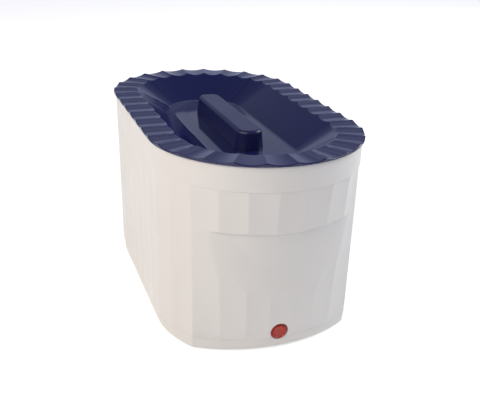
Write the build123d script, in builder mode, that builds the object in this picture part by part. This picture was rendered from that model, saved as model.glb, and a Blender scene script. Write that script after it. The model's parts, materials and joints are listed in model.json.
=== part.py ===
from build123d import *
import os
from math import acos, atan, cos, degrees, hypot, radians, sin, sqrt, tan

# A paraffin bath for hands and feet: a fluted housing round a heated tank, under a lift-off lid.
# Millimetres. +Z is up and the origin is the middle of the footprint, on the surface it stands on.
# The end with the indicator lamp faces -Y, and the long axis is Y.

os.makedirs("parts", exist_ok=True)

# Overall plan: straight sides between two round ends
SIDE_RUN = 86.0  # half the length of a straight side, so also where a round end has its centre
LID_RADIUS = 111.0  # round ends of the lid, and half its width
LID_TOP = 210.0
FLUTES_PER_END = 12
FLUTES_PER_SIDE = 6

# Lid
LID_RIM_THICKNESS = 3.8
LID_WALL = 3.0
LID_EDGE_RADIUS = 1.2
RIM_WIDTH = 26.0  # fluted band between the lid's edge and its bowl
BOWL_DEPTH = 27.0
BOWL_WALL_RUN = 40.6  # how far in the bowl's sloping wall reaches
SCALLOP_DEPTH = 2.2
RIDGE_LAND = 0.6  # flat left between two scallops

# Lid handle
HANDLE_LENGTH = 163.0
HANDLE_WIDTH = 32.0
HANDLE_HEIGHT = 21.0
HANDLE_CORNER = 14.5
HANDLE_DRAW_IN = 3.0  # how far each side leans in over the height
HANDLE_END_DRAW = 0.8  # the same for its ends
HANDLE_EDGE_RADIUS = 3.5
HANDLE_WALL = 3.0
HANDLE_SCREW_SPAN = 110.0
HANDLE_BOSS_RADIUS = 6.0

# Housing
COLLAR_INSET = 2.5  # collar inside the lid's edge
COLLAR_EDGE_RADIUS = 1.5
COLLAR_HEIGHT = 25.2  # plain band above the flutes
SIDE_DRAFT = 1.5  # how much narrower the foot is, each side
END_DRAFT = 20.5  # how much shorter the foot is, each end
BASE_END_RADIUS = 166.0
BAND_TOP = 15.0  # where the flutes end above the foot band
BAND_EDGE_RADIUS = 2.4
HOUSING_BOTTOM = 2.5
FLUTE_HOLLOW = 0.9  # how far a side's flute is hollowed behind its chord
END_HOLLOW = 0.35  # the same round the ends, where the flutes are nearly flat
CHORD_ROOM = 0.9  # how far a chord runs behind the round between its ridges
WALL = 2.8
RIM_LAND = 11.5  # width of the top rim that the lid rests on
RIM_SKIN = 2.8
WELL_DEPTH = 13.2  # from the top rim down to the ledge that carries the tank
LEDGE_THICKNESS = 3.0

# Sunk panel on the front
PANEL_RADIUS = 155.0
PANEL_STAND = 6.0  # how far the panel's face stands in front of the foot
PANEL_DROP = 42.7  # from the foot of the collar down to the panel's lip
PANEL_HALF_ANGLE = 52.5
EAVE_RADIUS = 117.0
EAVE_DROP = 16.0  # height of the slope under the lip
EAVE_SLOPE = 33.0  # degrees that it leans from upright

# Tank
BOWL_CLEARANCE = 3.2  # between the tank's mouth and the underside of the lid's bowl
TANK_END_INSET = 10.0  # tank's end centres inside those of the lid
TANK_FLOOR = 60.3  # height of the tank's floor
TANK_WALL = 1.5
TANK_BOTTOM_RADIUS = 14.0
TANK_CLEARANCE = 1.5
FLANGE_CLEARANCE = 4.5
GASKET_THICKNESS = 0.8
GASKET_INSET = 1.0  # gasket inside the flange's edge

# Grille on the tank's floor
GRILLE_CLEARANCE = 1.2
GRILLE_THICKNESS = 4.0
GRILLE_FOOT_HEIGHT = 6.0
GRILLE_FOOT_RADIUS = 4.0
GRILLE_SLOT_WIDTH = 9.0
GRILLE_SLOT_LENGTH = 15.0
GRILLE_BAR = 4.0
GRILLE_RIM = 5.0
GRILLE_FOOT_INSET = 1.0

# Heater and insulation
MAT_THICKNESS = 1.5
MAT_MARGIN = 3.0
PAD_THICKNESS = 8.0
RETAINER_THICKNESS = 1.0
WRAP_THICKNESS = 8.0
WRAP_TOP_GAP = 2.0
WRAP_LIFT = 0.5  # the wrap starts this far above the curve of the tank's floor
STRAP_THICKNESS = 0.5
STRAP_WIDTH = 18.0
LEAD_BLOCK_X = -20.0
LEAD_BLOCK_WIDTH = 20.0
LEAD_BLOCK_LENGTH = 14.0
LEAD_BLOCK_HEIGHT = 6.0
LEAD_BLOCK_SPREAD = 8.0

# Thermostat and thermal cutoff under the tank
SENSOR_X = 33.0
SENSOR_Y = 30.0
SENSOR_RADIUS = 8.0
SENSOR_HEIGHT = 10.0
SENSOR_PLATE_LENGTH = 34.0
SENSOR_PLATE_WIDTH = 10.0
SENSOR_PLATE_THICKNESS = 1.2
SENSOR_PLATE_DROP = 3.0
SENSOR_STUD_SPAN = 26.0
SENSOR_STUD_RADIUS = 1.5
SENSOR_TERMINAL_SPREAD = 10.0
SENSOR_TERMINAL_LENGTH = 8.0
WINDOW_CLEARANCE = 4.0

# Base plate, screws and feet
PLATE_THICKNESS = 1.5
PLATE_CLEARANCE = 0.6
PLATE_BOTTOM = 5.0
BOSS_RADIUS = 5.0
BOSS_HEIGHT = 17.0
BOSS_SINK = 4.5  # boss centres inside the inner wall
SIDE_BOSS_Y = 55.0
END_BOSS_X = 45.0
SCREW_RADIUS = 1.5
SCREW_CLEARANCE = 0.2
SCREW_LENGTH = 14.0
PILOT_EXTRA = 1.0  # pilot holes are this much deeper than their screws
SCREW_HEAD_RADIUS = 3.5
SCREW_HEAD_HEIGHT = 2.2
SLOT_DEPTH = 1.0
SLOT_WIDTH = 1.0
FOOT_SIDE_INSET = 35.0
FOOT_END_INSET = 56.0
FOOT_RADIUS = 12.0
FOOT_STEM_RADIUS = 4.0
FOOT_BARB_RADIUS = 5.5
FOOT_BARB_HEIGHT = 2.2
FOOT_BARB_TAPER = 30.0

# Tie rods
ROD_OFFSET = 19.0  # rods beyond the tank's end centres
ROD_RADIUS = 3.0
ROD_CLEARANCE = 0.3
ROD_END = 0.8
NUT_HEIGHT = 4.0
NUT_RADIUS = 5.5

# Indicator lamp
LAMP_Z = 21.5
LAMP_SINK = 1.7  # seat of the lamp's flange behind the front of the foot
LAMP_FLANGE_RADIUS = 9.3
LAMP_FLANGE_THICKNESS = 1.6
LAMP_BARREL_RADIUS = 6.0
LAMP_BARREL_LENGTH = 20.0
LENS_RADIUS = 7.2
LENS_PROUD = 1.4
LENS_DISH = 1.0
LENS_SINK = 1.0
LAMP_TERMINAL_SPREAD = 6.0
LAMP_TERMINAL_LENGTH = 5.0
LAMP_NUT_RADIUS = 9.5
LAMP_NUT_THICKNESS = 4.0
LAMP_PAD_THICKNESS = 4.8
LAMP_PAD_MARGIN = 4.5
WALL_HOLE_CLEARANCE = 0.2  # round the lamp and the inlet, where they pass through the wall

# Power inlet, at the back
INLET_Z = 33.5
INLET_SINK = 5.5  # seat of the inlet's flange behind the back of the foot
INLET_WIDTH = 27.0
INLET_HEIGHT = 19.5
INLET_CORNER = 3.0
INLET_FLANGE = 2.0
INLET_FLANGE_THICKNESS = 2.0
INLET_DEPTH = 18.5
INLET_SOCKET_DEPTH = 16.0
INLET_SOCKET_WALL = 1.5
INLET_POCKET_MARGIN = 1.2
INLET_PAD_THICKNESS = 3.0
INLET_PAD_MARGIN = 8.0
PIN_WIDTH = 4.0
PIN_THICKNESS = 2.0
PIN_SPREAD = 14.0
PIN_RAISE = 4.0
BLADE_WIDTH = 6.3
BLADE_THICKNESS = 2.6
BLADE_LENGTH = 8.0

# Terminal block and earth point on the base plate
BLOCK_GAP = 33.0  # between the inlet's blades and the block
BLOCK_LENGTH = 18.0
BLOCK_HEIGHT = 14.0
BLOCK_WAY = 9.0  # pitch of its four ways
BLOCK_END_WALL = 1.0
BLOCK_SCREW_RADIUS = 2.0
BLOCK_SCREW_SPAN = 10.0
BLOCK_SCREW_DEPTH = 5.0
EARTH_X = -30.0
EARTH_GAP = 32.0  # between the inlet's blades and the earth stud
EARTH_STUD_RADIUS = 2.0
EARTH_STUD_LENGTH = 9.0
TAG_RADIUS = 4.5
TAG_THICKNESS = 1.0
TAG_BARREL_WIDTH = 4.6
TAG_BARREL_HEIGHT = 4.0
TAG_BARREL_LENGTH = 8.0
TAG_NECK = 1.0
EARTH_NUT_RADIUS = 4.0
EARTH_NUT_HEIGHT = 3.0

# Leads inside the housing
LEAD_RADIUS = 1.3
LEAD_RISE = 4.5  # leads on the base plate run this far above it
LEAD_CLEARANCE = 0.15
LINK_RISE = 9.0  # the link lead runs this far above them
LAMP_LEAD_TURN = 12.0
LAMP_LEAD_RISE = 48.0
HEATER_LEAD_TURN = 12.0
HEATER_LEAD_RUN = 48.0
TAG_LEAD_STRAIGHT = 5.0
CLIP_HEIGHT = 8.0
CLIP_LENGTH = 8.0
CLIP_EDGE = 4.0
CLIP_SETBACK = 29.0  # clips this far from where the lamp leads start and turn

# Heights and radii that follow from the sizes above
HOUSING_TOP = LID_TOP - LID_RIM_THICKNESS
STEP_HEIGHT = HOUSING_TOP - COLLAR_HEIGHT
PANEL_TOP = STEP_HEIGHT - PANEL_DROP
LEDGE_TOP = HOUSING_TOP - WELL_DEPTH
LEDGE_BOTTOM = LEDGE_TOP - LEDGE_THICKNESS
COLLAR_RADIUS = LID_RADIUS - COLLAR_INSET
BASE_HALF_WIDTH = COLLAR_RADIUS - SIDE_DRAFT
BASE_REACH = COLLAR_RADIUS - END_DRAFT
BASE_FRONT = SIDE_RUN + BASE_REACH
FLUTE_ROOM = FLUTE_HOLLOW + CHORD_ROOM
SHELL_INSET = WALL + FLUTE_ROOM
CAVITY_RADIUS = COLLAR_RADIUS - SHELL_INSET
WELL_RADIUS = COLLAR_RADIUS - RIM_LAND
PANEL_CENTRE_Y = PANEL_RADIUS - BASE_FRONT - PANEL_STAND
WALL_RISE = (PANEL_TOP - BAND_TOP) / (STEP_HEIGHT - BAND_TOP)
EAVE_CENTRE_Y = EAVE_RADIUS - BASE_FRONT - END_DRAFT * WALL_RISE
END_PITCH = 180 / FLUTES_PER_END  # degrees
SIDE_PITCH = 2 * SIDE_RUN / FLUTES_PER_SIDE
CUT_THROUGH = LID_RADIUS  # longer than any cut through a wall

# The bowl's wall keeps its thickness on the slope
BOWL_RADIUS = LID_RADIUS - RIM_WIDTH
BOWL_FLOOR = LID_TOP - BOWL_DEPTH
BOWL_FLOOR_RADIUS = BOWL_RADIUS - BOWL_WALL_RUN
LID_UNDERSIDE = BOWL_FLOOR - LID_WALL
BOWL_SPREAD = BOWL_WALL_RUN / BOWL_DEPTH
BOWL_OUTER_RADIUS = BOWL_RADIUS + LID_WALL / cos(atan(BOWL_SPREAD))


def bowl_underside(height):
    """Radius of the round ends of the bowl's outer face at a height."""
    return BOWL_OUTER_RADIUS - (LID_TOP - height) * BOWL_SPREAD


# The tank hangs from its flange, clear of the bowl
FLANGE_BOTTOM = LEDGE_TOP + GASKET_THICKNESS
TANK_TOP = FLANGE_BOTTOM + TANK_WALL
TANK_RUN = SIDE_RUN - TANK_END_INSET
TANK_RADIUS = bowl_underside(TANK_TOP) + TANK_END_INSET + BOWL_CLEARANCE
TANK_OUTER = TANK_RADIUS + TANK_WALL
TANK_OPENING = TANK_OUTER + TANK_CLEARANCE
FLANGE_RADIUS = WELL_RADIUS - FLANGE_CLEARANCE
TANK_BOTTOM = TANK_FLOOR - TANK_WALL
MAT_BOTTOM = TANK_BOTTOM - MAT_THICKNESS
PAD_BOTTOM = MAT_BOTTOM - PAD_THICKNESS
RETAINER_BOTTOM = PAD_BOTTOM - RETAINER_THICKNESS
MAT_RADIUS = TANK_OUTER - TANK_BOTTOM_RADIUS - MAT_MARGIN
PLATE_TOP = PLATE_BOTTOM + PLATE_THICKNESS

# Distances of the lamp's and the inlet's parts from the middle
LAMP_SEAT = BASE_FRONT - LAMP_SINK
LAMP_FACE = LAMP_SEAT + LAMP_FLANGE_THICKNESS
LAMP_PAD_FACE = LAMP_SEAT - LAMP_PAD_THICKNESS
LAMP_BACK = LAMP_SEAT - LAMP_BARREL_LENGTH - LAMP_TERMINAL_LENGTH
INLET_SEAT = BASE_FRONT - INLET_SINK
INLET_BACK = INLET_SEAT - INLET_DEPTH
INLET_BLADE_END = INLET_BACK - BLADE_LENGTH


# Plan outlines
def circle_distance(angle, radius, across, along):
    """How far the far side of a circle is, from the centre of a round end, at an angle."""
    turn = radians(angle)
    toward = across * sin(turn) + along * cos(turn)
    aside = across * cos(turn) - along * sin(turn)
    return toward + sqrt(radius**2 - aside**2)


BASE_END_ALONG = BASE_REACH - BASE_END_RADIUS


def crossing_turn(radius, end_radius):
    """Turn from the middle of a round end at which the foot's broad arc meets the round."""
    return degrees(acos((radius**2 + BASE_END_ALONG**2 - end_radius**2)
                        / (2 * radius * BASE_END_ALONG)))


def base_distance(angle):
    """Outline of the foot, seen from the centre of a round end."""
    return min(circle_distance(angle, BASE_END_RADIUS, 0, BASE_END_ALONG), BASE_HALF_WIDTH)


def collar_distance(angle):
    """Outline under the collar, seen from the centre of a round end: a true half circle."""
    return COLLAR_RADIUS


def outline_point(place, distance):
    """Point of an outline, place flutes round from the middle of the front."""
    half = FLUTES_PER_END + FLUTES_PER_SIDE
    place = place % (2 * half)
    if place > half:
        x, y = outline_point(2 * half - place, distance)
        return -x, y
    if place > half / 2:
        x, y = outline_point(half - place, distance)
        return x, -y
    if place < FLUTES_PER_END / 2:
        angle = place * END_PITCH
        reach = distance(angle)
        return reach * sin(radians(angle)), -SIDE_RUN - reach * cos(radians(angle))
    return distance(90), -SIDE_RUN + (place - FLUTES_PER_END / 2) * SIDE_PITCH


def fluted_outline(distance):
    """Closed outline of shallow hollow arcs that meet in sharp ridges."""
    with BuildLine() as outline:
        for flute in range(2 * (FLUTES_PER_END + FLUTES_PER_SIDE)):
            start = Vector(*outline_point(flute - 0.5, distance))
            end = Vector(*outline_point(flute + 0.5, distance))
            inward = (end - start).normalized().rotate(Axis.Z, 90)
            from_end = flute % (FLUTES_PER_END + FLUTES_PER_SIDE) - FLUTES_PER_END / 2
            hollow = FLUTE_HOLLOW if 0 <= from_end <= FLUTES_PER_SIDE else END_HOLLOW
            ThreePointArc(start, (start + end) / 2 + inward * hollow, end)
    make_face(outline.edges())


def smooth_outline(radius, end_radius, end_along, turn):
    """Closed outline of two sides, and ends of a broad arc between two arcs of a round."""
    middle_turn = (turn + 90) / 2
    side = (radius, SIDE_RUN)
    corner = (radius * sin(radians(middle_turn)), SIDE_RUN + radius * cos(radians(middle_turn)))
    split = (radius * sin(radians(turn)), SIDE_RUN + radius * cos(radians(turn)))
    tip = (0, SIDE_RUN + end_along + end_radius)

    def at(point, x_sign, y_sign):
        return point[0] * x_sign, point[1] * y_sign

    with BuildLine() as outline:
        for y_sign in (-1, 1):
            ThreePointArc(at(split, -1, y_sign), at(tip, 1, y_sign), at(split, 1, y_sign))
            for x_sign in (-1, 1):
                ThreePointArc(at(split, x_sign, y_sign), at(corner, x_sign, y_sign),
                              at(side, x_sign, y_sign))
        for x_sign in (-1, 1):
            Line(at(side, x_sign, -1), at(side, x_sign, 1))
    make_face(outline.edges())


def base_outline(inset):
    """Smooth outline of the foot, drawn in by an inset."""
    radius = BASE_HALF_WIDTH - inset
    end_radius = BASE_END_RADIUS - inset
    smooth_outline(radius, end_radius, BASE_END_ALONG, crossing_turn(radius, end_radius))


def ring_outline(radius, run=SIDE_RUN, mode=Mode.ADD):
    """Outline with straight sides and true half circles for ends."""
    SlotCenterToCenter(2 * run, 2 * radius, rotation=90, mode=mode)


def panel_cut(set_back):
    """All that lies in front of the sunk panel's drum face and under its sloping eave."""
    top = PANEL_TOP + set_back
    half_angle = PANEL_HALF_ANGLE + degrees(set_back / BASE_REACH)
    with BuildPart() as cut:
        with BuildSketch(Plane.XY.offset(BAND_TOP)):
            with BuildLine() as rays:
                left_ray = PolarLine((0, -SIDE_RUN), 2 * LID_RADIUS, -90 - half_angle)
                right_ray = PolarLine((0, -SIDE_RUN), 2 * LID_RADIUS, -90 + half_angle)
                Line(left_ray @ 1, right_ray @ 1)
            make_face(rays.edges())
            with Locations((0, PANEL_CENTRE_Y)):
                Circle(PANEL_RADIUS - set_back, mode=Mode.SUBTRACT)
        extrude(amount=top - BAND_TOP)
        with BuildSketch(Plane.XY.offset(top)):
            with Locations((0, EAVE_CENTRE_Y)):
                Circle(EAVE_RADIUS - set_back)
        extrude(amount=-EAVE_DROP, taper=EAVE_SLOPE, mode=Mode.SUBTRACT)
    return cut.part


def on_wall(height):
    """Place of a centre on a front or back wall, as those walls' sketches count it."""
    return Locations((0, height))


def trim_to_plate():
    """Takes off what a front or back wall's sketch has lower than just above the base plate."""
    with on_wall(PLATE_TOP + PLATE_CLEARANCE - LID_RADIUS):
        Rectangle(2 * LID_RADIUS, 2 * LID_RADIUS, mode=Mode.SUBTRACT)


# Cavity of the housing, cut from the shell below
CAVITY_TURN = crossing_turn(BASE_HALF_WIDTH - SHELL_INSET, BASE_END_RADIUS - SHELL_INSET)
with BuildPart() as cavity:
    with BuildSketch(Plane.XY.offset(HOUSING_BOTTOM)):
        base_outline(SHELL_INSET)
    extrude(amount=BAND_TOP - HOUSING_BOTTOM)
    with BuildSketch(Plane.XY.offset(BAND_TOP)):
        base_outline(SHELL_INSET)
    with BuildSketch(Plane.XY.offset(STEP_HEIGHT)):
        smooth_outline(CAVITY_RADIUS, CAVITY_RADIUS, 0, CAVITY_TURN)
    loft(ruled=True)
    with BuildSketch(Plane.XY.offset(STEP_HEIGHT)):
        smooth_outline(CAVITY_RADIUS, CAVITY_RADIUS, 0, CAVITY_TURN)
    extrude(amount=LEDGE_BOTTOM - STEP_HEIGHT)
    # Hollow of the top rim
    with BuildSketch(Plane.XY.offset(LEDGE_BOTTOM)):
        ring_outline(CAVITY_RADIUS)
        ring_outline(WELL_RADIUS + RIM_SKIN, mode=Mode.SUBTRACT)
    extrude(amount=HOUSING_TOP - RIM_SKIN - LEDGE_BOTTOM)
    # The back of the sunk panel keeps the wall's thickness
    add(panel_cut(WALL), mode=Mode.SUBTRACT)
    # Thicker walls behind the lamp's seat and round the inlet's window
    with BuildSketch(Plane.XZ.offset(LAMP_PAD_FACE)):
        with on_wall(LAMP_Z):
            Circle(LAMP_FLANGE_RADIUS + LAMP_PAD_MARGIN)
        trim_to_plate()
    extrude(amount=CUT_THROUGH, mode=Mode.SUBTRACT)
    with BuildSketch(Plane.XZ.offset(INLET_PAD_THICKNESS - INLET_SEAT)):
        with on_wall(INLET_Z):
            Rectangle(INLET_WIDTH + 2 * INLET_PAD_MARGIN, INLET_HEIGHT + 2 * INLET_PAD_MARGIN)
        trim_to_plate()
    extrude(amount=-CUT_THROUGH, mode=Mode.SUBTRACT)

# Places of the screws that hold the base plate
END_BOSS_REACH = circle_distance(
    0, sqrt((BASE_END_RADIUS - SHELL_INSET) ** 2 - END_BOSS_X**2), 0, BASE_END_ALONG
)
BOSS_PLACES = [
    (x * (BASE_HALF_WIDTH - SHELL_INSET - BOSS_SINK), y * SIDE_BOSS_Y)
    for x in (-1, 1)
    for y in (-1, 1)
] + [
    (x * END_BOSS_X, y * (SIDE_RUN + END_BOSS_REACH - BOSS_SINK))
    for x in (-1, 1)
    for y in (-1, 1)
]

# Housing
with BuildPart() as housing:
    with BuildSketch(Plane.XY.offset(BAND_TOP)):
        base_outline(FLUTE_ROOM)
    extrude(amount=HOUSING_BOTTOM - BAND_TOP)
    fillet(housing.edges().group_by(Axis.Z)[0], BAND_EDGE_RADIUS)
    with BuildSketch(Plane.XY.offset(STEP_HEIGHT)):
        ring_outline(COLLAR_RADIUS)
    extrude(amount=HOUSING_TOP - STEP_HEIGHT)
    fillet(housing.edges().group_by(Axis.Z)[-1], COLLAR_EDGE_RADIUS)
    with BuildSketch(Plane.XY.offset(BAND_TOP)):
        fluted_outline(base_distance)
    with BuildSketch(Plane.XY.offset(STEP_HEIGHT)):
        fluted_outline(collar_distance)
    loft(ruled=True)
    # Sunk panel: an upright drum face cut into the leaning front, under a sloping eave
    add(panel_cut(0), mode=Mode.SUBTRACT)
    add(cavity.part, mode=Mode.SUBTRACT)
    # Well for the tank's flange, and the tank's opening through the ledge
    with BuildSketch(Plane.XY.offset(LEDGE_TOP)):
        ring_outline(WELL_RADIUS)
    extrude(amount=WELL_DEPTH, mode=Mode.SUBTRACT)
    with BuildSketch(Plane.XY.offset(LEDGE_BOTTOM)):
        ring_outline(TANK_OPENING, TANK_RUN)
    extrude(amount=LEDGE_THICKNESS, mode=Mode.SUBTRACT)
    # Screw bosses
    with BuildSketch(Plane.XY.offset(PLATE_TOP)):
        with Locations(*BOSS_PLACES):
            Circle(BOSS_RADIUS)
    extrude(amount=BOSS_HEIGHT)
    with BuildSketch(Plane.XY.offset(PLATE_TOP)):
        with Locations(*BOSS_PLACES):
            Circle(SCREW_RADIUS + SCREW_CLEARANCE)
    extrude(amount=SCREW_LENGTH + PILOT_EXTRA, mode=Mode.SUBTRACT)
    # Seat and hole for the lamp
    with BuildSketch(Plane.XZ.offset(LAMP_SEAT)):
        with on_wall(LAMP_Z):
            Circle(LAMP_FLANGE_RADIUS + WALL_HOLE_CLEARANCE)
    extrude(amount=CUT_THROUGH, mode=Mode.SUBTRACT)
    with BuildSketch(Plane.XZ.offset(LAMP_SEAT)):
        with on_wall(LAMP_Z):
            Circle(LAMP_BARREL_RADIUS + WALL_HOLE_CLEARANCE)
    extrude(amount=-LAMP_PAD_THICKNESS, mode=Mode.SUBTRACT)
    # Pocket and window for the power inlet
    with BuildSketch(Plane.XZ.offset(-INLET_SEAT)):
        with on_wall(INLET_Z):
            RectangleRounded(INLET_WIDTH + 2 * (INLET_FLANGE + INLET_POCKET_MARGIN),
                             INLET_HEIGHT + 2 * (INLET_FLANGE + INLET_POCKET_MARGIN),
                             INLET_CORNER + INLET_FLANGE)
    extrude(amount=-CUT_THROUGH, mode=Mode.SUBTRACT)
    with BuildSketch(Plane.XZ.offset(-INLET_SEAT)):
        with on_wall(INLET_Z):
            RectangleRounded(INLET_WIDTH + 2 * WALL_HOLE_CLEARANCE,
                             INLET_HEIGHT + 2 * WALL_HOLE_CLEARANCE, INLET_CORNER)
    extrude(amount=INLET_PAD_THICKNESS, mode=Mode.SUBTRACT)
housing.part.label = "housing"
export_step(housing.part, "parts/housing.step")

# Tank, and the hollow cut from it
with BuildPart() as tank_hollow:
    with BuildSketch(Plane.XY.offset(TANK_FLOOR)):
        ring_outline(TANK_RADIUS, TANK_RUN)
    extrude(amount=TANK_TOP - TANK_FLOOR)
    fillet(tank_hollow.edges().group_by(Axis.Z)[0], TANK_BOTTOM_RADIUS - TANK_WALL)

with BuildPart() as tank:
    with BuildSketch(Plane.XY.offset(TANK_BOTTOM)):
        ring_outline(TANK_OUTER, TANK_RUN)
    extrude(amount=TANK_TOP - TANK_BOTTOM)
    fillet(tank.edges().group_by(Axis.Z)[0], TANK_BOTTOM_RADIUS)
    with BuildSketch(Plane.XY.offset(FLANGE_BOTTOM)):
        ring_outline(FLANGE_RADIUS, TANK_RUN)
    extrude(amount=TANK_WALL)
    add(tank_hollow.part, mode=Mode.SUBTRACT)
tank.part.label = "tank"
export_step(tank.part, "parts/tank.step")

# Gasket between the flange and the housing's ledge
with BuildPart() as tank_gasket:
    with BuildSketch(Plane.XY.offset(LEDGE_TOP)):
        ring_outline(FLANGE_RADIUS - GASKET_INSET, TANK_RUN)
        ring_outline(TANK_OPENING, TANK_RUN, mode=Mode.SUBTRACT)
    extrude(amount=GASKET_THICKNESS)
tank_gasket.part.label = "tank_gasket"
export_step(tank_gasket.part, "parts/tank_gasket.step")

# Grille that lies loose on the tank's floor
GRILLE_RADIUS = TANK_RADIUS - (TANK_BOTTOM_RADIUS - TANK_WALL) - GRILLE_CLEARANCE
SLOT_PITCH_X = GRILLE_SLOT_WIDTH + GRILLE_BAR
SLOT_PITCH_Y = GRILLE_SLOT_LENGTH + GRILLE_BAR
SLOT_COLUMNS = int((GRILLE_RADIUS - GRILLE_RIM) // SLOT_PITCH_X)
SLOT_ROWS = int((TANK_RUN + GRILLE_RADIUS - GRILLE_RIM) // SLOT_PITCH_Y)


def inside_grille(x, y):
    """Whether a slot centred here leaves the grille's rim whole."""
    corner_x = abs(x) + GRILLE_SLOT_WIDTH / 2
    corner_y = max(abs(y) + GRILLE_SLOT_LENGTH / 2 - TANK_RUN, 0)
    return hypot(corner_x, corner_y) < GRILLE_RADIUS - GRILLE_RIM


SLOT_PLACES = [
    (column * SLOT_PITCH_X, row * SLOT_PITCH_Y)
    for column in range(-SLOT_COLUMNS, SLOT_COLUMNS + 1)
    for row in range(-SLOT_ROWS, SLOT_ROWS + 1)
    if inside_grille(column * SLOT_PITCH_X, row * SLOT_PITCH_Y)
]
GRILLE_FOOT_X = GRILLE_RADIUS - GRILLE_FOOT_RADIUS - GRILLE_FOOT_INSET
GRILLE_FOOT_PLACES = [(x * GRILLE_FOOT_X, y * TANK_RUN) for x in (-1, 1) for y in (-1, 0, 1)]
with BuildPart() as grille:
    with BuildSketch(Plane.XY.offset(TANK_FLOOR + GRILLE_FOOT_HEIGHT)):
        ring_outline(GRILLE_RADIUS, TANK_RUN)
        with Locations(*SLOT_PLACES):
            RectangleRounded(GRILLE_SLOT_WIDTH, GRILLE_SLOT_LENGTH, GRILLE_SLOT_WIDTH / 3,
                             mode=Mode.SUBTRACT)
    extrude(amount=GRILLE_THICKNESS)
    with BuildSketch(Plane.XY.offset(TANK_FLOOR)):
        with Locations(*GRILLE_FOOT_PLACES):
            Circle(GRILLE_FOOT_RADIUS)
    extrude(amount=GRILLE_FOOT_HEIGHT)
grille.part.label = "grille"
export_step(grille.part, "parts/grille.step")

# Scallops of the lid's rim: each narrows towards the bowl on the round ends
SCALLOP_INNER = BOWL_RADIUS - LID_WALL
SCALLOP_OUTER = LID_RADIUS + LID_WALL


def scallop_profile(width):
    """Shallow hollow under a chord at the rim's top, closed above it."""
    with BuildLine() as profile:
        ThreePointArc((-width / 2, LID_TOP), (0, LID_TOP - SCALLOP_DEPTH), (width / 2, LID_TOP))
        Polyline((width / 2, LID_TOP), (width / 2, LID_TOP + SCALLOP_DEPTH),
                 (-width / 2, LID_TOP + SCALLOP_DEPTH), (-width / 2, LID_TOP))
    make_face(profile.edges())


with BuildPart() as end_scallop:
    for radius in (SCALLOP_INNER, SCALLOP_OUTER):
        with BuildSketch(Plane.XZ.offset(radius)):
            scallop_profile(2 * radius * tan(radians(END_PITCH / 2)) - RIDGE_LAND)
    loft(ruled=True)

with BuildPart() as side_scallop:
    with BuildSketch(Plane.XZ.offset(SCALLOP_INNER)):
        scallop_profile(SIDE_PITCH - RIDGE_LAND)
    extrude(amount=SCALLOP_OUTER - SCALLOP_INNER)

# Lid
with BuildPart() as lid:
    with BuildSketch(Plane.XY.offset(HOUSING_TOP)):
        ring_outline(LID_RADIUS)
    extrude(amount=LID_RIM_THICKNESS)
    fillet(lid.edges().group_by(Axis.Z)[-1], LID_EDGE_RADIUS)
    for height in (LID_TOP, LID_UNDERSIDE):
        with BuildSketch(Plane.XY.offset(height)):
            ring_outline(bowl_underside(height))
    loft(ruled=True)
    with BuildSketch(Plane.XY.offset(LID_TOP)):
        ring_outline(BOWL_RADIUS)
    with BuildSketch(Plane.XY.offset(BOWL_FLOOR)):
        ring_outline(BOWL_FLOOR_RADIUS)
    loft(ruled=True, mode=Mode.SUBTRACT)
    for end_y, side_angle in ((-SIDE_RUN, -90), (SIDE_RUN, 90)):
        with Locations((0, end_y)):
            with PolarLocations(0, FLUTES_PER_END, start_angle=side_angle + END_PITCH / 2,
                                angular_range=180):
                add(end_scallop.part, mode=Mode.SUBTRACT)
        for flute in range(FLUTES_PER_SIDE):
            flute_y = -SIDE_RUN + (flute + 0.5) * SIDE_PITCH
            with Locations(Location((0, flute_y, 0), (0, 0, side_angle))):
                add(side_scallop.part, mode=Mode.SUBTRACT)
    # Screw holes under the handle
    with BuildSketch(Plane.XY.offset(LID_UNDERSIDE)):
        with GridLocations(0, HANDLE_SCREW_SPAN, 1, 2):
            Circle(SCREW_RADIUS + SCREW_CLEARANCE)
    extrude(amount=LID_WALL, mode=Mode.SUBTRACT)
lid.part.label = "lid"
export_step(lid.part, "parts/lid.step")

# Handle, a hollow bar with two screw bosses
HANDLE_LEAN = degrees(atan(HANDLE_DRAW_IN / HANDLE_HEIGHT))
HOLLOW_HEIGHT = HANDLE_HEIGHT - HANDLE_WALL
with BuildPart() as lid_handle:
    with BuildSketch(Plane.XY.offset(BOWL_FLOOR)):
        RectangleRounded(HANDLE_WIDTH, HANDLE_LENGTH, HANDLE_CORNER)
    with BuildSketch(Plane.XY.offset(BOWL_FLOOR + HANDLE_HEIGHT)):
        RectangleRounded(HANDLE_WIDTH - 2 * HANDLE_DRAW_IN, HANDLE_LENGTH - 2 * HANDLE_END_DRAW,
                         HANDLE_CORNER - HANDLE_DRAW_IN)
    loft(ruled=True)
    fillet(lid_handle.edges().group_by(Axis.Z)[-1], HANDLE_EDGE_RADIUS)
    with BuildSketch(Plane.XY.offset(BOWL_FLOOR)):
        RectangleRounded(HANDLE_WIDTH - 2 * HANDLE_WALL, HANDLE_LENGTH - 2 * HANDLE_WALL,
                         HANDLE_CORNER - HANDLE_WALL)
    extrude(amount=HOLLOW_HEIGHT, taper=HANDLE_LEAN, mode=Mode.SUBTRACT)
    with BuildSketch(Plane.XY.offset(BOWL_FLOOR)):
        with GridLocations(0, HANDLE_SCREW_SPAN, 1, 2):
            Circle(HANDLE_BOSS_RADIUS)
    extrude(amount=HOLLOW_HEIGHT)
    with BuildSketch(Plane.XY.offset(BOWL_FLOOR)):
        with GridLocations(0, HANDLE_SCREW_SPAN, 1, 2):
            Circle(SCREW_RADIUS + SCREW_CLEARANCE)
    extrude(amount=SCREW_LENGTH - LID_WALL + PILOT_EXTRA, mode=Mode.SUBTRACT)
lid_handle.part.label = "lid_handle"
export_step(lid_handle.part, "parts/lid_handle.step")


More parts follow.
